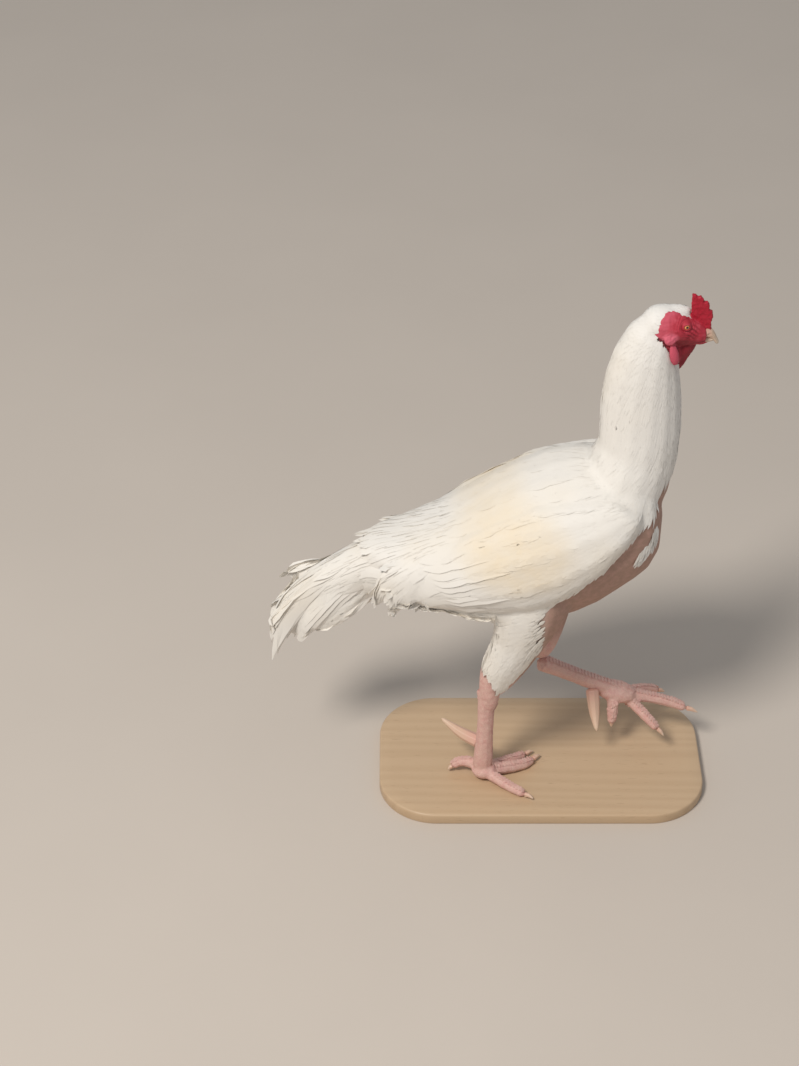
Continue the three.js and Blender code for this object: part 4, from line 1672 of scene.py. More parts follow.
@dataclass
class Eyeball:
    """A round eye with a bulging cornea."""

    side: Side
    rings: int = 40
    turns: int = 64
    bulge: float = 0.45

    def build(self, head: HeadSkin, material: Material) -> Thing:
        """Makes the eye round its outward axis."""
        centre, axis, radius = head.eye(self.side)
        aside = unit(np.cross(axis, [0.0, 0.0, 1.0]))
        above = np.cross(aside, axis)
        tilt = np.linspace(0.02, math.pi - 0.02, self.rings)[:, None]
        turn = np.linspace(0, 2 * math.pi, self.turns, endpoint=False)[None, :]
        size = radius - 0.15 - self.bulge + self.bulge * np.exp(-((tilt / 0.62) ** 2)) * np.ones_like(turn)
        around = aside * np.cos(turn)[..., None] + above * np.sin(turn)[..., None]
        way = axis * np.cos(tilt)[..., None] + around * np.sin(tilt)[..., None]
        points = (centre + way * size[..., None]).reshape(-1, 3)
        quads, caps = tube(self.rings, self.turns)
        quads, caps = quads[:, [0, 3, 2, 1]], caps[:, ::-1]
        if (Shell(points, quads).face_normals() * (points[quads[:, 0]] - centre)).sum() < 0:
            quads, caps = quads[:, ::-1], caps[:, ::-1]
        mesh = mesh_of("eye", points, [quads, caps])
        store_values(mesh, "ring", (size * np.sin(tilt) + (tilt > math.pi / 2) * 9.0).ravel())
        store_values(mesh, "turn", (turn + 0 * tilt).ravel())
        smooth_shaded(mesh)
        piece = place(f"eyeball_{self.side.word}", mesh, material)
        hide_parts(f"eye_{self.side.word}")
        return piece


@dataclass(frozen=True)
class ScutePath:
    """One row of scutes: the solid it runs along, the way it faces, its shift aside and its width."""

    node: str
    outward: Spot
    aside: float
    across: float
    pitch: float
    start: float = 0.02
    end: float = 0.96


@dataclass
class Scutes:
    """Overlapping plates down the front of a shank and along the tops of the toes."""

    side: Side
    thick: float = 0.45
    bins: int = 22

    def rows(self) -> list[ScutePath]:
        """Two staggered rows on the shank and one on each toe."""
        word = self.side.word
        front = (1.0, 0.0, 0.0) if self.side is Side.RIGHT else (0.5, 0.0, 0.86)
        rows = [ScutePath(f"shank_{word}", front, shift, 2.7, 4.2) for shift in (-2.2, 2.2)]
        for toe, across in (("toe_2", 3.6), ("toe_3", 4.0), ("toe_4", 3.4), ("hallux", 3.0)):
            rows.append(ScutePath(f"{toe}_{word}", (0.0, 0.0, 1.0), 0.0, across, 3.4))
        return rows

    def path(self, row: ScutePath, skin: Surface) -> Mesh:
        """The line along the skin that a row of plates follows, with the way out of the skin."""
        solid = Shell.of_node(row.node).remeshed(1.6).vertices
        middle = solid.mean(axis=0)
        _, _, main = np.linalg.svd(solid - middle, full_matrices=False)
        axis = main[0] * (1 if main[0][2] < 0 or abs(main[0][2]) < 0.5 else -1)
        share = (solid - middle) @ axis
        stops = np.linspace(share.min(), share.max(), self.bins + 1)
        centres = np.array([
            solid[(share >= a) & (share <= b)].mean(axis=0) for a, b in zip(stops[:-1], stops[1:])
        ])
        first, last = int(row.start * self.bins), max(int(row.end * self.bins), 3)
        centres = centres[first:last]
        along = unit(np.gradient(centres, axis=0))
        out = unit(np.array(row.outward) - (along @ np.array(row.outward))[:, None] * along)
        sideways = np.cross(along, out)
        start = centres + sideways * row.aside + out * 12.0
        points, ups = [], []
        for spot, way in zip(start, out):
            hit = skin.tree.ray_cast(spot.tolist(), (-way).tolist(), 24.0)
            if hit[0] is not None:
                points.append(np.array(hit[0][:]))
                ups.append(unit(skin.facing[hit[2]] + way * 0.4))
        mesh = bpy.data.meshes.new("path")
        edges = [(i, i + 1) for i in range(len(points) - 1)]
        mesh.from_pydata((np.array(points) * MM).tolist(), edges, [])
        store = mesh.attributes.new("outward", "FLOAT_VECTOR", "POINT")
        store.data.foreach_set("vector", np.array(ups).astype(np.float32).ravel())
        return mesh

    def plates(self, row: ScutePath, source: Mesh, material: Material) -> Mesh:
        """Sets a plate at each pitch along the path."""
        rule = Rule("scutes")
        pitch, across = rule.size("Pitch", row.pitch * MM), rule.size("Across", row.across * MM)
        thick = rule.size("Thickness", self.thick * MM)
        shift = rule.size("Tilt", math.radians(9.0))
        curve = rule.node("GeometryNodeMeshToCurve", sockets={0: rule.start()})
        spread = rule.node("GeometryNodeResampleCurve", {"mode": "LENGTH"}, {"Curve": curve, "Length": pitch})
        plate = rule.node("GeometryNodeMeshIcoSphere", sockets={"Radius": 1.0, "Subdivisions": 3})
        shaded = rule.node("GeometryNodeSetShadeSmooth", sockets={0: plate})
        size = rule.vector(pitch * 0.66, across, thick)
        sockets = {"Geometry": shaded, "Scale": size, "Rotation": rule.vector(0.0, shift, 0.0)}
        shaped = rule.node("GeometryNodeTransform", sockets=sockets)
        kept = {"data_type": "FLOAT_VECTOR"}
        outward = rule.node("GeometryNodeInputNamedAttribute", kept, {"Name": "outward"})
        tangent = rule.node("GeometryNodeInputTangent")
        align = "FunctionNodeAlignRotationToVector"
        upright = rule.node(align, {"axis": "Z"}, {"Vector": outward})
        turned = rule.node(align, {"axis": "X", "pivot_axis": "Z"}, {"Rotation": upright, "Vector": tangent})
        sockets = {"Points": spread, "Instance": shaped, "Rotation": turned}
        return rule.run(rule.node("GeometryNodeInstanceOnPoints", sockets=sockets), source, material)

    def build(self, skin: Surface, material: Material) -> Thing:
        """Joins all the rows of one leg into a piece."""
        work = bmesh.new()
        for row in self.rows():
            made = self.plates(row, self.path(row, skin), material)
            work.from_mesh(made)
            bpy.data.meshes.remove(made)
        mesh = bpy.data.meshes.new("scutes")
        work.to_mesh(mesh)
        work.free()
        store_values(mesh, "leg", 1.0)
        smooth_shaded(mesh)
        return place(f"scutes_{self.side.word}", mesh, material)


@dataclass
class CombBeads:
    """The small round grains that cover the comb."""

    spacing: float = 1.9
    bead: float = 0.38
    seed: int = 5

    def build(self, face: Shell, comb: Array, material: Material) -> Thing:
        """Spreads the grains over the comb's part of the head."""
        chosen = comb[face.faces].min(axis=1) > 0.6
        used = np.unique(face.faces[chosen])
        renumber = np.zeros(len(face.vertices), int)
        renumber[used] = np.arange(len(used))
        source = mesh_of("comb", face.vertices[used], [renumber[face.faces[chosen]]])
        rule = Rule("comb_beads")
        gap, bead = rule.size("Spacing", self.spacing * MM), rule.size("Bead", self.bead * MM)
        seed = rule.size("Seed", self.seed)
        sockets = {"Mesh": rule.start(), "Distance Min": gap, "Density Max": 9e5, "Seed": seed}
        spread = rule.node("GeometryNodeDistributePointsOnFaces", {"distribute_method": "POISSON"}, sockets)
        turn = Wire(rule, spread.socket.node.outputs["Rotation"])
        ball = rule.node("GeometryNodeMeshIcoSphere", sockets={"Radius": 1.0, "Subdivisions": 2})
        round_ball = rule.node("GeometryNodeSetShadeSmooth", sockets={0: ball})
        size = rule.vector(bead, bead, bead * 0.6)
        shaped = rule.node("GeometryNodeTransform", sockets={"Geometry": round_ball, "Scale": size})
        sockets = {2: 0.6, 3: 1.35, "Seed": seed}
        some = rule.node("FunctionNodeRandomValue", {"data_type": "FLOAT"}, sockets, output=1)
        sockets = {"Points": spread, "Instance": shaped, "Rotation": turn, "Scale": some}
        mesh = rule.run(rule.node("GeometryNodeInstanceOnPoints", sockets=sockets), source, material)
        for name in ("comb", "red"):
            store_values(mesh, name, 1.0)
        smooth_shaded(mesh)
        return place("comb_grains", mesh, material)


# ---------------------------------------------------------------- coats


def guides(node: str, *rows: tuple[Spot, Spot, float, float]) -> tuple[Guide, ...]:
    """Guides at several places of one solid, each with its place, heading, length and width."""
    return tuple(Guide(node, *row) for row in rows)


NECK_GUIDES = (
    Guide("neck", (0.55, 0.55, 0.98), (-0.9, 0.0, -0.35), 13.0, 4.4),
    *guides("head",
        ((0.30, 0.60, 1.0), (-1.0, 0.0, 0.1), 7.5, 3.2),
        ((0.45, 0.75, 0.85), (-0.95, 0.0, 0.0), 6.5, 2.8),
        ((0.10, 0.80, 0.55), (-0.75, 0.1, -0.6), 9.0, 3.6),
        ((0.22, 0.95, 0.20), (-0.25, 0.1, -0.95), 8.0, 3.2),
    ),
    *guides("neck",
        ((0.15, 0.55, 0.86), (-0.45, 0.0, -0.9), 24.0, 5.4),
        ((0.60, 0.85, 0.80), (-0.10, 0.0, -1.0), 20.0, 5.0),
        ((0.95, 0.55, 0.72), (0.05, 0.0, -1.0), 15.0, 4.8),
        ((0.50, 0.90, 0.52), (-0.12, 0.0, -1.0), 36.0, 7.6),
        ((0.12, 0.55, 0.50), (-0.10, 0.0, -1.0), 40.0, 7.8),
        ((0.97, 0.60, 0.42), (0.02, 0.0, -1.0), 24.0, 7.6),
        ((0.08, 0.60, 0.26), (-0.45, 0.1, -0.9), 52.0, 9.0),
        ((0.45, 0.95, 0.20), (-0.60, 0.1, -0.80), 42.0, 8.8),
        ((0.92, 0.65, 0.14), (-0.20, 0.1, -0.97), 28.0, 8.8),
    ),
)
TRUNK_GUIDES = (
    *guides("trunk",
        ((0.74, 0.62, 0.98), (-0.95, 0.1, -0.15), 36.0, 12.5),
        ((0.55, 0.62, 0.88), (-0.92, 0.05, -0.4), 38.0, 12.0),
        ((0.32, 0.64, 0.66), (-0.85, 0.1, -0.5), 52.0, 9.0),
        ((0.12, 0.62, 0.50), (-0.92, 0.1, -0.4), 62.0, 8.5),
        ((0.20, 0.80, 0.42), (-0.60, 0.1, -0.8), 68.0, 7.5),
        ((0.98, 0.62, 0.80), (-0.40, 0.1, -0.9), 22.0, 8.0),
        ((0.90, 0.88, 0.60), (-0.65, 0.1, -0.7), 22.0, 8.0),
        ((0.95, 0.60, 0.35), (-0.6, 0.0, -0.8), 20.0, 9.0),
        ((0.45, 0.95, 0.25), (-0.90, 0.0, -0.35), 32.0, 13.0),
        ((0.45, 0.62, 0.02), (-1.0, 0.0, 0.12), 26.0, 12.0),
        ((0.12, 0.62, 0.25), (-0.85, 0.1, -0.1), 34.0, 11.0),
    ),
)
WING_GUIDES = (
    *guides("wing_left",
        ((0.92, 0.6, 0.80), (-0.75, 0.1, -0.6), 16.0, 7.0),
        ((0.75, 0.9, 0.62), (-0.88, 0.0, -0.45), 20.0, 8.5),
        ((0.86, 0.9, 0.40), (-0.62, 0.0, -0.78), 15.0, 7.0),
        ((0.60, 0.9, 0.80), (-0.93, 0.0, -0.35), 26.0, 9.5),
        ((0.50, 1.0, 0.45), (-0.93, 0.0, -0.36), 32.0, 10.5),
        ((0.62, 0.9, 0.12), (-0.88, 0.0, -0.45), 26.0, 9.5),
        ((0.25, 0.8, 0.65), (-0.90, 0.0, -0.44), 48.0, 14.5),
        ((0.12, 0.7, 0.30), (-0.93, 0.0, -0.36), 58.0, 15.0),
        ((0.40, 0.8, 0.05), (-0.98, 0.0, -0.18), 46.0, 13.0),
    ),
    Guide("flight_left", (0.5, 0.6, 0.4), (-1.0, 0.0, 0.05), 32.0, 9.0),
)
THIGH_GUIDES = tuple(
    Guide(f"thigh_{word}", at, heading, length, width, paired=False)
    for word, lean in (("right", -0.42), ("left", -0.28))
    for at, heading, length, width in (
        ((0.70, 0.5, 0.85), (lean, 0.0, -0.9), 26.0, 8.0),
        ((0.45, 0.5, 0.50), (lean, 0.0, -0.9), 24.0, 7.5),
        ((0.20, 0.5, 0.15), (lean * 0.8, 0.0, -0.95), 16.0, 6.0),
    )
)
TAIL_GUIDES = (
    *guides("tail",
        ((0.95, 0.7, 0.90), (-0.88, 0.05, -0.48), 72.0, 10.0),
        ((0.55, 0.7, 0.70), (-0.78, 0.0, -0.62), 72.0, 10.5),
        ((0.20, 0.7, 0.35), (-0.55, 0.0, -0.83), 54.0, 10.0),
        ((0.70, 0.6, 0.10), (-0.80, 0.0, -0.60), 46.0, 10.0),
    ),
    *guides("plume_right_1",
        ((0.70, 0.5, 0.78), (-0.74, 0.0, -0.67), 66.0, 10.0),
        ((0.20, 0.5, 0.42), (-0.38, 0.0, -0.92), 48.0, 9.0),
        ((0.08, 0.5, 0.05), (-0.10, 0.0, -1.0), 40.0, 8.5),
    ),
    Guide("plume_left_1", (0.30, 0.5, 0.50), (-0.90, 0.0, -0.30), 44.0, 9.0, paired=False),
)
SADDLE_GUIDES = (
    *guides("saddle_left",
        ((0.80, 0.8, 0.85), (-0.62, 0.1, -0.78), 54.0, 9.5),
        ((0.45, 0.8, 0.45), (-0.42, 0.05, -0.91), 46.0, 9.0),
        ((0.25, 0.7, 0.10), (-0.26, 0.0, -0.96), 36.0, 8.0),
    ),
)
LIE = (*NECK_GUIDES, *TRUNK_GUIDES, *WING_GUIDES, *THIGH_GUIDES, *TAIL_GUIDES, *SADDLE_GUIDES)
ROUND_NECK = Unroll((("neck", (0.5, 0.5, 1.0), (0.4, 0.5, 0.0)),))
ROUND_TRUNK = Unroll((("trunk", (0.0, 0.5, 0.4), (1.0, 0.5, 0.6)),))
ROUND_THIGHS = Unroll((
    ("thigh_right", (0.7, 0.5, 1.0), (0.2, 0.5, 0.0)), ("thigh_left", (0.7, 0.5, 1.0), (0.3, 0.5, 0.0)),
))
ROUND_TAIL = Unroll((("tail", (1.0, 0.5, 0.85), (0.0, 0.5, 0.1)),))


@dataclass
class Coat:
    """All the feathers that lie along the form."""

    form: Form
    breast: BareBreast
    edge: FaceEdge = field(default_factory=FaceEdge)
    hem_right: Pair = (52.0, 19.0)
    hem_turn: Pair = (9.0, 22.0)
    hem_left: Pair = (65.0, 0.6)
    rooting: float = 0.60
    tuft_ends: tuple[Spot, ...] = ((0.962, 0.797, 0.708), (0.920, 0.875, 0.600))
    tuft_half: float = 5.5
    aft: float = 0.40
    cape: float = 0.82
    nape_level: float = 0.86
    throat_level: float = 0.73
    flight_rear: float = 0.25

    def centres(self) -> Array:
        """The middle of each face of the form."""
        return self.form.shell.vertices[self.form.shell.faces].mean(axis=1)

    def hem(self, spots: Array) -> Array:
        """How far above the end of its thigh's feathers each point lies."""
        (rear, front), (rise, slope) = self.hem_right, self.hem_left
        right, left = spots - box_of("thigh_right")[0], spots - box_of("thigh_left")[0]
        right_hem = rear + (front - rear) * ease(right[:, 0], *self.hem_turn)
        return np.where(spots[:, 1] < 0, right[:, 2] - right_hem, left[:, 2] - rise + slope * left[:, 0])

    def tuft(self, spots: Array) -> Array:
        """How far each point lies from the middle line of the nearer breast tuft."""
        paired = mirrored(spots)
        start, end = inside("trunk", self.tuft_ends[0]), inside("trunk", self.tuft_ends[1])
        run = end - start
        share = np.clip((paired - start) @ run / (run @ run), 0.0, 1.0)
        return np.linalg.norm(paired - start - share[:, None] * run, axis=1)

    def rooted(self, spots: Array) -> Array:
        """Which points of the plumes, saddle locks and tail are high enough to hold roots."""
        good = np.ones(len(spots), bool)
        for node in self.form.nodes:
            least = self.rooting if node.startswith(("plume", "saddle")) else 0.3 if node == "tail" else 0.0
            low, high = box_of(node)
            good &= ~(self.form.wears(node) & (spots[:, 2] < low[2] + least * (high[2] - low[2])))
        return good

    def fields(self) -> list[tuple[Tract, Array, Unroll]]:
        """Each tract with the faces it grows on and its unwrap."""
        flow = Flow(LIE)
        spots, wears = self.centres(), self.form.wears
        facing = unit(self.form.shell.face_normals())
        share = self.breast.share(spots)
        tips = spots + flow.heading(spots) * 0.85 * flow.size(spots)[0][:, None]
        bare = np.maximum(share, self.breast.share(tips)) > 0.5
        nape = self.edge.back(spots) < -0.5
        rise = share_of(spots, "neck", 2)
        skull = (wears("head") | (wears("neck") & (rise > self.nape_level))) & nape
        hackle = wears("neck") & (rise <= self.nape_level) & (nape | (rise < self.throat_level)) & ~bare
        trunk, upward = wears("trunk"), facing[:, 2] > 0.0
        paired = mirrored(spots)
        hip = (paired - inside("saddle_left", (0.9, 0.2, 1.0))) / [26.0, 30.0, 26.0]
        along = share_of(spots, "trunk", 0)
        aft, cape = trunk & upward & (along < self.aft), trunk & upward & (along > self.cape) & ~bare
        saddle = wears("saddle") | aft | (trunk & (np.linalg.norm(hip, axis=1) < 1.0))
        flight = wears("flight") & (share_of(spots, "flight_left", 0) > self.flight_rear)
        tiny = Vane(Tip.ROUND, rows=6, thick=0.12, camber=0.10)
        lance = Vane(Tip.LANCE, rows=9, thick=0.12, camber=0.10, ragged=0.04)
        strand = Vane(Tip.LANCE, rows=11, thick=0.16, camber=0.10, ragged=0.05)
        wide = Vane(Tip.ROUND, rows=9, thick=0.14, camber=0.10)
        loose = Vane(Tip.LOOSE, rows=8, thick=0.14, camber=0.10, ragged=0.10)
        wisp = Vane(Tip.LOOSE, rows=6, thick=0.2, ragged=0.14)
        plume = Vane(Tip.SICKLE, rows=12, thick=0.18, camber=0.08, ragged=0.03)
        return [
            (Tract("crown_feathers", flow, tiny, 7.0, 0.7, 0.15, 0.1, seed=11), skull, ROUND_NECK),
            (Tract("hackle_upper", flow, lance, 8.0, 0.55, 0.05, 0.3, scruff=0.05, seed=12),
             hackle & (rise > 0.45), ROUND_NECK),
            (Tract("hackle_cape", flow, lance, 8.5, 0.7, 0.12, 0.15, scruff=0.06, brink=2.0, seed=13),
             (hackle & (rise <= 0.45)) | cape, ROUND_NECK),
            (Tract("back_feathers", flow, wide, 7.0, 0.7, 0.05, 0.3, scruff=0.06, seed=14),
             trunk & ~bare & upward & ~aft & ~cape, ROUND_TRUNK),
            (Tract("breast_feathers", flow, loose, 6.0, 0.8, 0.05, 0.3, scruff=0.12, seed=15),
             trunk & ~bare & ~upward, ROUND_TRUNK),
            (Tract("breast_fringe", flow, wisp, 1.6, 0.6, 0.6, 0.4, scruff=0.20, seed=21, scale=0.45),
             (trunk | wears("wing", "thigh")) & (share > 0.3) & (share < 0.9), ROUND_TRUNK),
            (Tract("breast_tufts", flow, wisp, 7.0, 0.8, 1.8, 0.3, scruff=0.10, seed=22, scale=0.55),
             trunk & (self.tuft(spots) < self.tuft_half), ROUND_TRUNK),
            (Tract("wing_coverts", flow, wide, 7.0, 0.65, 0.05, 0.15, scruff=0.05, brink=2.0, seed=16),
             wears("wing") & ~bare, ROUND_TRUNK),
            (Tract("wing_edge_feathers", flow, wide, 6.0, 0.7, 0.0, 0.1, scruff=0.02, brink=2.0, seed=17,
                   scale=0.8),
             flight & ~bare, ROUND_TRUNK),
            (Tract("thigh_feathers", flow, loose, 8.0, 0.9, 0.1, 0.4, free=0.9, scruff=0.10, seed=18),
             wears("thigh") & ~bare & (self.hem(spots) > 0.0), ROUND_THIGHS),
            (Tract("tail_coverts", flow, plume, 6.0, 1.6, -0.2, 0.3, scruff=0.03, overhang=0.1, seed=19),
             wears("tail", "plume") & self.rooted(spots), ROUND_TAIL),
            (Tract("saddle_hackles", flow, strand, 6.5, 1.2, 0.5, 0.3, scruff=0.05, overhang=0.2, seed=20),
             saddle & self.rooted(spots), ROUND_TAIL),
        ]

    def build(self, material: Material) -> None:
        """Grows every tract."""
        for tract, allowed, unroll in self.fields():
            place(tract.name, tract.grow(self.form, allowed, unroll), material)


@dataclass
class Fan:
    """Long feathers laid side by side on both sides of the bird, from the highest to the lowest.

    Roots and tips are places along X and Z in the box of a solid, in the order of the feathers.
    """

    name: str
    node: str
    count: int
    width: float
    roots: tuple[Pair, ...]
    tips: tuple[Pair, ...]
    arches: Pair
    vane: Vane
    unroll: Unroll
    seed: int
    stray: float = 0.0
    lift: float = 0.35
    sink: float = 2.6
    sides: tuple[Side, ...] = tuple(Side)
    far: float = 120.0

    def line(self, side: Side, share: float, rng: Chance) -> Array:
        """The way of one feather, seen from the side, as places with Y still at 0."""
        node = self.node.format(side.word)
        steps = np.linspace(0.0, 1.0, len(self.roots)), np.linspace(0.0, 1.0, len(self.tips))
        root, tip = (
            inside(node, (np.interp(share, s, x), 0.5, np.interp(share, s, z)))
            for s, (x, z) in zip(steps, (zip(*self.roots), zip(*self.tips)))
        )
        run = (tip - root + self.stray * rng.standard_normal(3)) * [1.0, 0.0, 1.0]
        over = unit(np.cross(run, [0.0, 1.0, 0.0]))
        over = over * np.sign(over[2])
        t = self.vane.shares()[:, None]
        arch = self.arches[0] + (self.arches[1] - self.arches[0]) * share
        return root * [1.0, 0.0, 1.0] + run * t + over * arch * 4.0 * t * (1.0 - t)

    def pressed(self, form: Form, side: Side, line: Array) -> tuple[Array, Array]:
        """Lays a line on the side of the form.

        Args:
            form: The outer surface of the plumage.
            side: The side to press it on.
            line: The line's places, whose Y is set here.

        Returns:
            The evened places on the form, and the ways out of it there.
        """
        places, facing = [], []
        for spot in line:
            spot[1] = side.value * self.far
            hit = form.surface.tree.ray_cast(spot.tolist(), (0.0, -float(side.value), 0.0), self.far)
            good = hit[0] is not None
            spot[1] = hit[0][1] if good else places[-1][1] if places else side.value * 20.0
            places.append(spot)
            facing.append(form.surface.facing[hit[2]] if good else np.array([0.0, side.value, 0.0]))
        middle, up = np.array(places), np.array(facing)
        for _ in range(4):
            for values in (middle, up):
                values[1:-1] = 0.25 * values[:-2] + 0.5 * values[1:-1] + 0.25 * values[2:]
        return middle, up

    def lay(self, form: Form, rng: Chance) -> Lay:
        """Presses each feather onto the side of the form."""
        shares = self.vane.shares()
        middles, ups, halves = [], [], []
        for side in self.sides:
            for n in range(self.count):
                s = n / (self.count - 1)
                middle, up = self.pressed(form, side, self.line(side, s, rng))
                rise = self.lift - 0.9 * s - self.sink * (1 - shares)
                middles.append(middle + unit(up) * rise[:, None])
                ups.append(unit(up + np.array([0.0, 0.0, 0.22])))
                halves.append(self.width / 2 * self.vane.tip.half_width(shares) * (1 - 0.15 * s))
        middles = np.array(middles)
        return Lay(middles, np.array(ups), np.array(halves), rng.random(len(middles)), middles[:, 0])

    def build(self, form: Form, material: Material) -> Thing:
        """Makes the feathers as one piece."""
        rng = np.random.default_rng(self.seed)
        mesh = feather_mesh(self.name, self.lay(form, rng), self.vane, self.unroll, rng)
        return place(self.name, mesh, material)


# ---------------------------------------------------------------- base and studio


@dataclass
class Board:
    """The display base: a board with round corners and softened edges."""

    corner: float = 60.0
    steps: int = 26
    profile: tuple[Pair, ...] = (
        (1.2, 0.0), (0.35, 0.35), (0.0, 1.2), (0.0, 9.6),
        (0.25, 10.7), (0.95, 11.6), (2.0, 12.0), (14.0, 12.0),
    )

    def build(self, material: Material) -> Thing:
        """Makes the board, which stands for its solid."""
        low, high = box_of("stand_base")
        loops = []
        for inset, rise in self.profile:
            radius = self.corner - inset
            loop = []
            for quarter in range(4):
                sx, sy = ((1, 1), (-1, 1), (-1, -1), (1, -1))[quarter]
                cx = (high[0] if sx > 0 else low[0]) - sx * self.corner
                cy = (high[1] if sy > 0 else low[1]) - sy * self.corner
                swing = np.linspace(0, math.pi / 2, self.steps) + quarter * math.pi / 2
                loop += [(cx + radius * math.cos(a), cy + radius * math.sin(a), low[2] + rise) for a in swing]
            loops.append(loop)
        mesh = mesh_of("board", np.array(loops).reshape(-1, 3), tube(len(loops), self.steps * 4))
        smooth_shaded(mesh, 40.0)
        piece = place("stand_board", mesh, material)
        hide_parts("stand_base")
        return piece


@dataclass
class Studio:
    """A plain pale floor under soft light, seen from above and from the bird's right."""

    eye: Spot = (-149.0, -1929.0, 1705.0)
    down: float = 36.0
    lens: float = 81.05
    floor: Colour = (0.60, 0.53, 0.46)
    sun: Spot = (-0.38, -0.49, 0.79)
    aim: Spot = (-40.0, 0.0, 300.0)
    reach: float = 3600.0
    spread: float = 950.0
    power: float = 98.0
    glow: Colour = (1.0, 0.965, 0.92)
    sky: Colour = (0.93, 0.96, 1.0)
    fill: float = 0.42

    def camera(self) -> None:
        """Sets the camera."""
        data = bpy.data.cameras.new("camera")
        data.lens, data.sensor_width = self.lens, 36.0
        camera = added("camera", data)
        camera.location = [c * MM for c in self.eye]
        camera.rotation_euler = (math.radians(90.0 - self.down), 0.0, 0.0)
        bpy.context.scene.camera = camera

    def ground(self) -> None:
        """Lays the floor."""
        half = 9000.0
        corners = half * np.array([(-1, -1, 0), (1, -1, 0), (1, 1, 0), (-1, 1, 0)])
        mesh = mesh_of("floor", corners, [np.array([[0, 1, 2, 3]])])
        paint = Paint("floor_paint")
        cloud = paint.noise(paint.place(), 260.0, 3.0)
        shade = tuple(c * 0.93 for c in self.floor)
        colour = paint.mix(cloud, self.floor, shade)
        mesh.materials.append(paint.finish(colour, 0.85))
        added("floor", mesh)

    def lights(self) -> None:
        """Sets a soft key light and an even fill."""
        data = bpy.data.lights.new("key", "AREA")
        data.shape, data.size, data.energy = "DISK", self.spread * MM, self.power
        data.color = self.glow
        key = added("key", data)
        way = Vector(self.sun).normalized()
        key.location = Vector(self.aim) * MM + way * self.reach * MM
        key.rotation_euler = way.to_track_quat("Z", "Y").to_euler()
        world = bpy.data.worlds.new("studio")
        world.use_nodes = True
        back = world.node_tree.nodes["Background"]
        back.inputs["Color"].default_value = (*self.sky, 1.0)
        back.inputs["Strength"].default_value = self.fill
        bpy.context.scene.world = world

    def build(self) -> None:
        """Sets floor, lights and camera."""
        bpy.context.scene.view_settings.view_transform = "Standard"
        self.camera()
        self.ground()
        self.lights()


# ---------------------------------------------------------------- the whole bird


def horns() -> None:
    """Makes the beak, the claws and the spurs."""
    beak = Horn("beak_horn", (0.60, 0.30, 0.24), (0.62, 0.45, 0.33), (0.66, 0.54, 0.42)).make()
    claw = Horn("claw_horn", (0.64, 0.38, 0.29), (0.68, 0.46, 0.34), (0.70, 0.53, 0.40), 0.35).make()
    spur = Horn("spur_horn", (0.66, 0.38, 0.30), (0.66, 0.44, 0.32), (0.68, 0.50, 0.36), 0.38).make()
    Beak("beak_upper", "head", swell=0.55).build(beak)
    HornPart("beak_lower", "head", swell=0.45, rise=1.5).build(beak)
    for side in Side:
        HornPart(f"spur_{side.word}", f"shank_{side.word}", voxel=0.55, swell=0.8).build(spur)
        for toe in ("hallux", "toe_2", "toe_3", "toe_4"):
            HornPart(f"claw_{toe}_{side.word}", f"{toe}_{side.word}").build(claw)


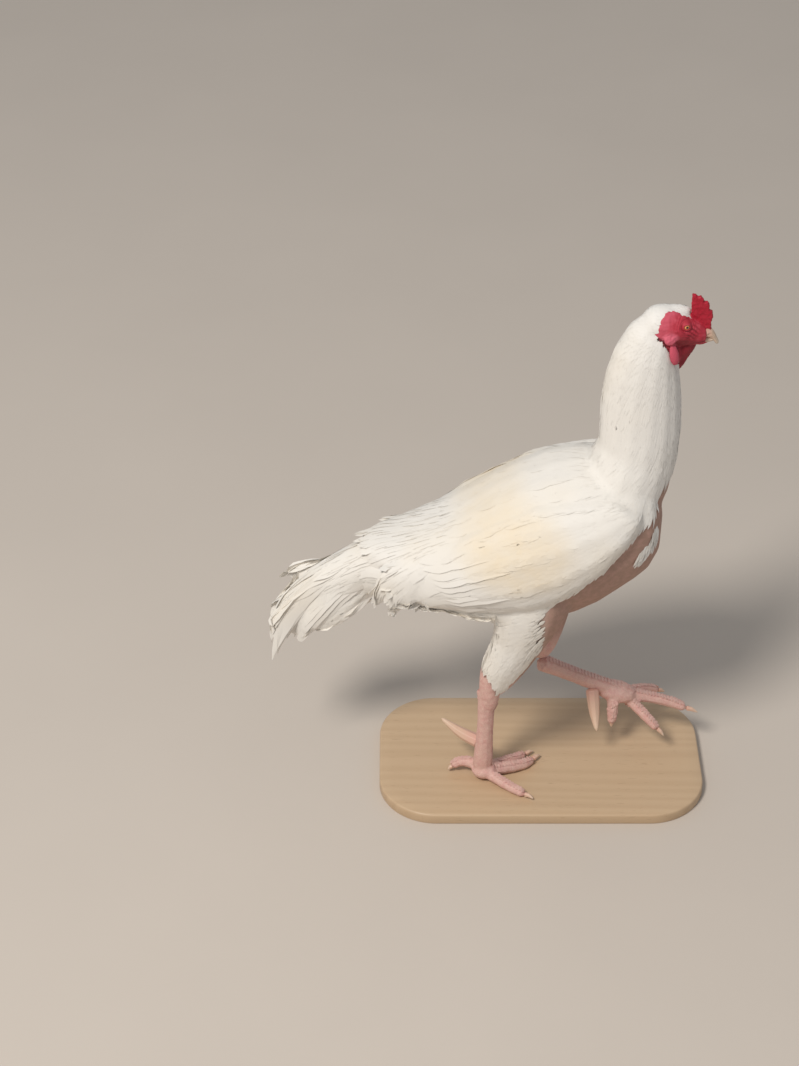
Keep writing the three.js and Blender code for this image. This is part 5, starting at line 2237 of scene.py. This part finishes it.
def long_feathers(form: Form, material: Material) -> None:
    """Makes the sickles of the tail, the strands of the saddle and the flight feathers of the wings."""
    broad = (-1.0, -0.66, -0.33, 0.0, 0.33, 0.66, 1.0)
    blunt = Vane(Tip.BLUNT, rows=14, columns=broad, thick=0.5, camber=0.08)
    sickle = Vane(Tip.SICKLE, rows=22, columns=broad, thick=0.5, camber=0.07, ragged=0.02)
    strand = Vane(Tip.LANCE, rows=14, columns=(-1.0, -0.5, 0.0, 0.5, 1.0), thick=0.4, camber=0.08)
    fans = (
        Fan(
            "wing_secondaries", "wing_{}", 12, 19.0, roots=((0.50, 0.80), (0.60, 0.16)),
            tips=((0.02, 0.40), (0.20, 0.0)), arches=(3.0, 2.0), vane=blunt, unroll=ROUND_TRUNK, seed=31,
        ),
        Fan(
            "tail_sickles", "tail", 13, 19.0, roots=((0.85, 1.03), (0.85, 0.85), (0.92, 0.70)),
            tips=((-0.04, -0.22), (0.08, -0.04), (0.24, 0.05), (0.40, 0.13), (0.56, 0.22)),
            arches=(25.0, 4.0), vane=sickle, unroll=ROUND_TAIL, seed=33, stray=1.5, lift=1.2, sink=4.5,
        ),
        Fan(
            "tail_far_sickles", "plume_left_1", 5, 15.0, roots=((1.6, 1.0), (1.4, 0.2)),
            tips=((0.06, -0.15), (0.25, -0.6)), arches=(9.0, 5.0), vane=sickle, unroll=ROUND_TAIL,
            seed=34, sink=4.0, sides=(Side.LEFT,),
        ),
        Fan(
            "saddle_strands", "saddle_{}", 16, 8.0, roots=((0.72, 0.92), (1.6, 0.98)),
            tips=((0.05, 0.35), (0.35, 0.12), (0.55, 0.30), (0.85, 0.36)), arches=(10.0, 5.0),
            vane=strand, unroll=ROUND_TAIL, seed=35, stray=3.0, lift=1.2, sink=3.4,
        ),
    )
    pieces = {fan.name: fan.build(form, material) for fan in fans}
    plumes = [f"plume_{side.word}_{n}" for side in Side for n in (1, 2, 3)]
    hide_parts(*plumes)
    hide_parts("saddle_right", "saddle_left")


def main() -> None:
    """Builds the bird, its base and the studio."""
    logging.basicConfig(level=logging.INFO, format="%(name)s %(message)s")
    Studio().build()
    Board().build(Wood().make())
    form, breast = Form(), BareBreast()
    skin = Skin(form, breast).build()
    head = HeadSkin()
    face, regions = head.build()
    CombBeads().build(face, regions["comb"], skin.data.materials[0])
    iris = Iris().make()
    for side in Side:
        Eyeball(side).build(head, iris)
        leg = Surface(LegSkin(side).build())
        Scutes(side).build(leg, skin.data.materials[0])
    horns()
    plumage = Plumage().make()
    Coat(form, breast).build(plumage)
    long_feathers(form, plumage)
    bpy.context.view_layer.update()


if __name__ == "__main__":
    main()
